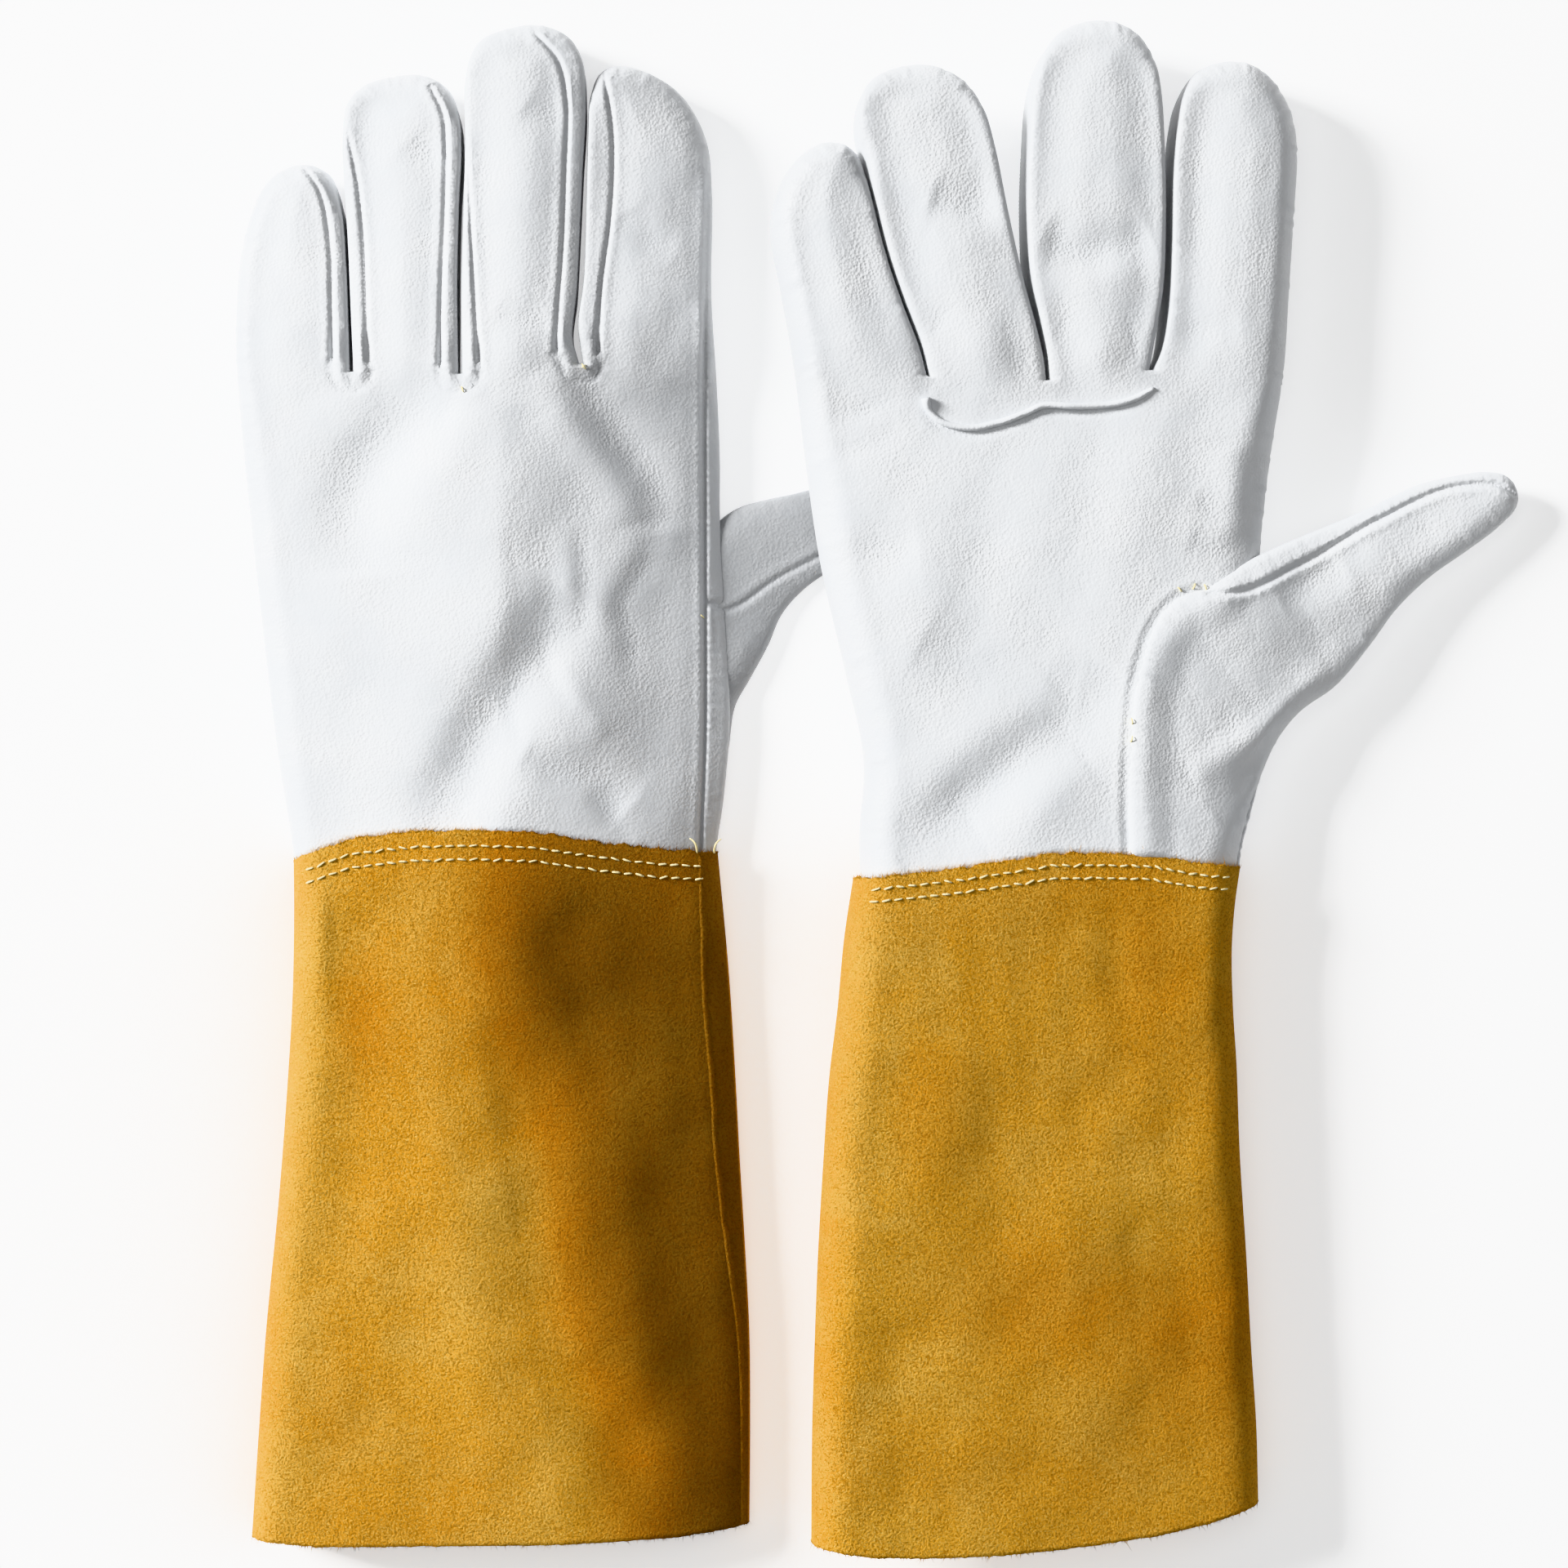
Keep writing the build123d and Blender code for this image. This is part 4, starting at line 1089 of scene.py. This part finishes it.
def make_hand(side):
    """The hand's skin, cut at the knuckles into a piece for the palm and one for each finger."""
    pattern = PATTERNS[side]
    palm_up = pattern["palm_up"]
    runs = [smooth_line(run) for run in pattern["runs"]]
    wrist = resample(np.array([runs[-1][-1], runs[0][0]]), 1.6)[1:-1]
    starts = np.cumsum([0, *map(len, runs)])
    rim = np.vstack(runs)
    knuckles = [int(np.linalg.norm(rim - end, axis=1).argmin())
                for end in pattern["knuckle_ends"]]
    cuts = [(knuckles[0], starts[1] - 1), (starts[1], starts[2] - 1),
            (starts[2], starts[3] - 1), (starts[3], knuckles[1])]
    seams = [smooth_line(seam) for seam in SEAMS[side]]
    flat, faces = triangulate([*runs, wrist], cuts, GRID, seams=seams)
    gap, _ = to_line(flat, rim)
    closed = gap < 1e-3

    crotches = np.array([runs[k][-1] for k in range(3)])
    to_crotch, near = (np.linalg.norm(points[:, None] - crotches[None], axis=2).min(1)
                       for points in (rim, flat))
    roll, between = edge_roll(runs, starts, rim)
    roll = CROTCH_ROLL + (roll - CROTCH_ROLL) * ease(0, 17, to_crotch)
    roll = spread(flat, rim, roll)
    rise = dome(gap, roll)

    slope, sunk_edge = LEANS[side]
    level = RIM - sunk_edge * ease(-80, -50, rim[:, 0]) * ease(20, 6, rim[:, 1] - 100)
    level = np.minimum(level + BETWEEN_RISE * between, FACE - RIM_DROP - lean(rim, slope))
    level = spread(flat, rim, level)
    face = level + (FACE - lean(flat, slope) - level) * rise
    sole = level - (level - SOLE) * dome(gap, 0.62 * roll)
    seam_depth = sum(groove(flat, seam, depth, 0.62, 2.6, 0.24)
                     for seam, depth in zip(seams, SEAM_DEPTHS))
    if palm_up:
        sole = sole - ease(0.5, 4, gap) * seam_depth
    inner = ease(0.0, 7.0, gap)
    relief = hand_relief(side, flat, gap, inner, near, seam_depth)
    face = relax(face, faces, 2, closed)
    marks = fold_mark(face + relief, faces, closed)
    face = face + relief
    if palm_up:
        thumb = np.vstack([smooth_line(THUMB_SEAM), smooth_line(THUMB_UPPER)])
        covered, _ = to_line(flat, smooth_line(THUMB_SEAM[:-1] + THUMB_UPPER[:6]))
        face = face - UNDER_THUMB * inside(flat, thumb) * ease(2.5, 10, covered) * ease(0, 5, gap)
        face = np.maximum(face, sole + 1.0 * ease(0, 3, gap))
    sole = sole + inner * 0.35 * np.abs(ripple(flat, 30, 8, 2))
    # Painted shade: edges that face the lamp, the right glove's fingers a little, and the left back
    # more towards the thumb.
    shade = EDGE_SHADE * lamp_edge_shade_mask(flat, rim, gap, 12)
    if palm_up:
        shade += (0.04 + 0.05 * ease(12, 0, flat[:, 0])) * ease(85, 110, flat[:, 1])
    else:
        shade += 0.06 + 0.30 * ease(-118, -56, flat[:, 0]) * (1 - 0.5 * ease(95, 125, flat[:, 1]))
    flat, face = tuck_in(side, flat, face)
    _, sole = tuck_in(side, flat, sole)
    points, skin = two_sided(flat, faces, face, sole, closed)
    marks = np.concatenate([marks, np.full(len(flat), UNDERSIDE_FOLD)])
    cut_at_knuckles(side, points, skin, rim, cuts, marks, np.tile(shade, 2))
    return flat, face


def cut_at_knuckles(side, points, skin, rim, cuts, marks, shade):
    """Pieces for the palm and the four fingers, with the whole skin's normals at the cuts."""
    world = place(side, points)
    normals = vertex_normals(world, skin)
    middle = points[skin][:, :, :2].mean(1)
    owner = np.full(len(skin), -1)
    for k, (a, b) in enumerate(cuts):
        owner[inside(middle, rim[a:b + 1])] = k
    for k in range(-1, 4):
        mine = skin[owner == k]
        used = np.unique(mine)
        index = np.full(len(points), -1)
        index[used] = np.arange(len(used))
        name = f"{side}_hand_leather" if k < 0 else f"{side}_{FINGERS[k]}_finger"
        piece = new_piece(name, world[used], index[mine], LEATHER, normals[used])
        paint(piece, "fold", marks[used])
        paint(piece, "shade", shade[used])
        if k < 0:
            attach(piece, f"{side}_hand")
            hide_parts(f"{side}_back_panel", f"{side}_palm_panel")
            continue
        finger = FINGERS[k]
        a, b = cuts[k]
        base = (rim[a] + rim[b]) / 2
        tip = rim[a:b][rim[a:b, 1].argmax()]
        way = (tip - base) / np.linalg.norm(tip - base)
        ends = place(side, [(*(base + way * distance), RIM) for distance in BEND])
        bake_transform(piece)
        nodes = [n for n in frame["nodes"] if n.startswith(f"{side}_{finger}_")]
        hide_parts(*nodes)


# By the share of the way round a thumb's outline: the outline's height, and how far in from it
# the thumb is level. Then the points between which the thumb bends.
THUMBS = {
    "left": {
        "rim_levels": [(0, 3.6), (0.34, 3.6), (0.5, 2.2), (0.72, 2.2), (0.84, 2.8), (1.0, 3.6)],
        "rolls": [(0, 6.0), (0.3, 7.0), (0.5, 9.0), (0.7, 8.0), (0.85, 7.0), (1.0, 6.0)],
        "bend": [(-42.0, 48.0, 12.0), (-17.0, 58.0, 12.0)],
    },
    "right": {
        "rim_levels": [(0, 20.1), (0.24, 20.1), (0.32, 18.0), (0.40, 14.2), (0.60, 13.6),
                       (0.78, 13.0), (0.88, 10.8), (1.0, 9.6)],
        "rolls": [(0, 5.0), (0.26, 5.0), (0.34, 7.0), (0.45, 8.5), (0.75, 10.0), (0.9, 12.0),
                  (1.0, 14.0)],
        "bend": [(100.0, 36.0, 12.0), (126.0, 48.0, 12.0)],
    },
}


def make_thumb(side):
    """The thumb with its root: on the right palm up to the curved seam, on the left beneath."""
    rim_levels = THUMBS[side]["rim_levels"]
    outline = [THUMB_SEAM, THUMB_UPPER] if side == "right" else LEFT_THUMB
    runs = [smooth_line(run) for run in outline]
    runs[1] = runs[1][1:]
    rim = np.vstack(runs)
    wrist = resample(np.array([rim[-1], rim[0]]), 1.6)[1:-1]
    seam = smooth_line(THUMB_SEAMS[side])
    flat, faces = triangulate([*runs, wrist], [], GRID * 0.85, seams=[seam])
    gap, _ = to_line(flat, rim)
    closed = gap < 1e-3
    share = np.linspace(0, 1, len(rim))
    level = spread(flat, rim, np.interp(share, *zip(*rim_levels)))
    around = to_line(flat, rim)[1] / np.linalg.norm(np.diff(rim, axis=0), axis=1).sum()
    exact = np.interp(around, *zip(*rim_levels))
    level = level + (exact - level) * ease(4, 0, gap)
    roll = spread(flat, rim, np.interp(share, *zip(*THUMBS[side]["rolls"])))
    x = flat[:, 0]
    # Painted shade: on the right thumb at its lamp-side edges, all over the left thumb in place of
    # the hand's shadow.
    if side == "right":
        from_seam, _ = to_line(flat, smooth_line(THUMB_SEAM, 1.0))
        top = 22.6 - 1.5 * ease(3.5, 13, from_seam) - 4.0 * ease(8, 44, from_seam)
        under = 10.0 - 3.2 * ease(98, 122, x)
        shade = THUMB_EDGE_SHADE * lamp_edge_shade_mask(flat, rim, gap, 8)
    else:
        top = 6.8 - 4.2 * np.clip((x + 42) / 34, 0, 1)
        under = np.full(len(x), 0.3)
        shade = np.full(len(x), LEFT_THUMB_SHADE)
    rise = dome(gap, roll)
    face = level + (top - level) * rise
    sole = level + (under - level) * dome(gap, 0.8 * roll)
    inner = ease(0.5, 6, gap)
    relief = inner * folds(flat, THUMB_RIDGES[side])
    relief += ease(0.3, 2.5, gap) * groove(flat, seam, 0.9, 0.8, 2.8, 0.3)
    relief += inner * (0.25 * ripple(flat, 34, 6, 2) + 0.03 * ripple(flat, 9, 15, 2))
    face = relax(face, faces, 2, closed)
    marks = fold_mark(face + relief, faces, closed)
    face = np.maximum(face + relief * (1.0 if side == "right" else 0.5), sole + 0.2 * inner)
    flat, face = tuck_in(side, flat, face)
    _, sole = tuck_in(side, flat, sole)
    points, skin = two_sided(flat, faces, face, sole, closed)
    world = place(side, points)
    piece = new_piece(f"{side}_thumb_leather", world, skin, LEATHER,
                      vertex_normals(world, skin))
    paint(piece, "fold", np.concatenate([marks, np.full(len(flat), UNDERSIDE_FOLD)]))
    paint(piece, "shade", np.tile(shade, 2))
    ends = place(side, THUMBS[side]["bend"])
    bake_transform(piece)
    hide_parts(f"{side}_thumb_root", f"{side}_thumb_front", f"{side}_thumb_back")


def make_base_welt(side):
    """The rolled lip where the fronts of the ring and middle fingers are sewn to the palm."""
    line = smooth_line(WELT_LINES[side], 0.8)
    share = np.linspace(0, 1, len(line))
    level = np.full(len(line), 0.95)
    if PATTERNS[side]["palm_up"]:
        level = FACE + 0.15 + 0.8 * ease(0.06, 0.0, share) + 0.15 * ripple(line, 14, 51, 2)
    radius = 0.85 * (1 - 0.35 * ease(0.94, 1.0, share)) + 0.35 * ease(0.07, 0.0, share)
    points, faces = tube(np.column_stack([line, level]), radius, 12)
    piece = new_piece(f"{side}_finger_base_lip", place(side, points), faces, LEATHER)
    paint(piece, "fold", np.zeros(len(points)))
    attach(piece, f"{side}_hand")
    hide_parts(f"{side}_finger_base_welt")


for side in ("left", "right"):
    hand = make_hand(side)
    make_thumb(side)
    make_base_welt(side)
    make_cuff(side)
    make_cuff_welt(side)
    make_stitching(side, *hand)


# ---------------------------------------------------------------- studio

FLOOR_REACH = 6.0
CAMERA_HEIGHT = 0.988


def add_light(name, position, aim, size, power):
    """White area light over the gloves."""
    light = bpy.data.lights.new(name, "AREA")
    light.shape = "RECTANGLE"
    light.size, light.size_y = size
    light.energy = power
    lamp = bpy.data.objects.new(name, light)
    lamp.location = position
    lamp.rotation_euler = (Vector(aim) - Vector(position)).to_track_quat("-Z", "Y").to_euler()
    bpy.context.scene.collection.objects.link(lamp)


def studio():
    """Floor, daylight, two lamps and the camera, straight above."""
    low, high = (Vector(corner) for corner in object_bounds())
    centre = (low + high) / 2
    mesh = bpy.data.meshes.new("studio_floor")
    corners = [(x * FLOOR_REACH, y * FLOOR_REACH, 0) for x, y in ((-1, -1), (1, -1), (1, 1), (-1, 1))]
    mesh.from_pydata(corners, [], [(0, 1, 2, 3)])
    floor = bpy.data.objects.new("studio_floor", mesh)
    bpy.context.scene.collection.objects.link(floor)
    mesh.materials.append(Surface("studio_paper", (0.93, 0.93, 0.93)).finish({
        "Roughness": 0.9, "Specular IOR Level": 0.1,
        "Emission Color": (1, 1, 1), "Emission Strength": 0.42}))
    floor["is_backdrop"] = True

    world = bpy.data.worlds.new("studio")
    bpy.context.scene.world = world
    world.use_nodes = True
    background = world.node_tree.nodes["Background"]
    background.inputs["Color"].default_value = (0.97, 0.985, 1.0, 1)
    background.inputs["Strength"].default_value = 0.16

    add_light("key", (centre.x - 2.42, centre.y + 1.00, 1.30), centre, (0.8, 1.0), 222)
    add_light("top", (centre.x - 0.1, centre.y + 0.1, 1.9), centre, (1.4, 1.4), 10.5)

    camera = bpy.data.cameras.new("camera")
    camera.lens, camera.sensor_width = 85, 36
    eye = bpy.data.objects.new("camera", camera)
    eye.location = (centre.x - 0.0250, centre.y + 0.0010, CAMERA_HEIGHT)
    bpy.context.scene.collection.objects.link(eye)
    bpy.context.scene.camera = eye
    bpy.context.scene.view_settings.view_transform = "Khronos PBR Neutral"
    bpy.context.scene.view_settings.look = "None"


studio()
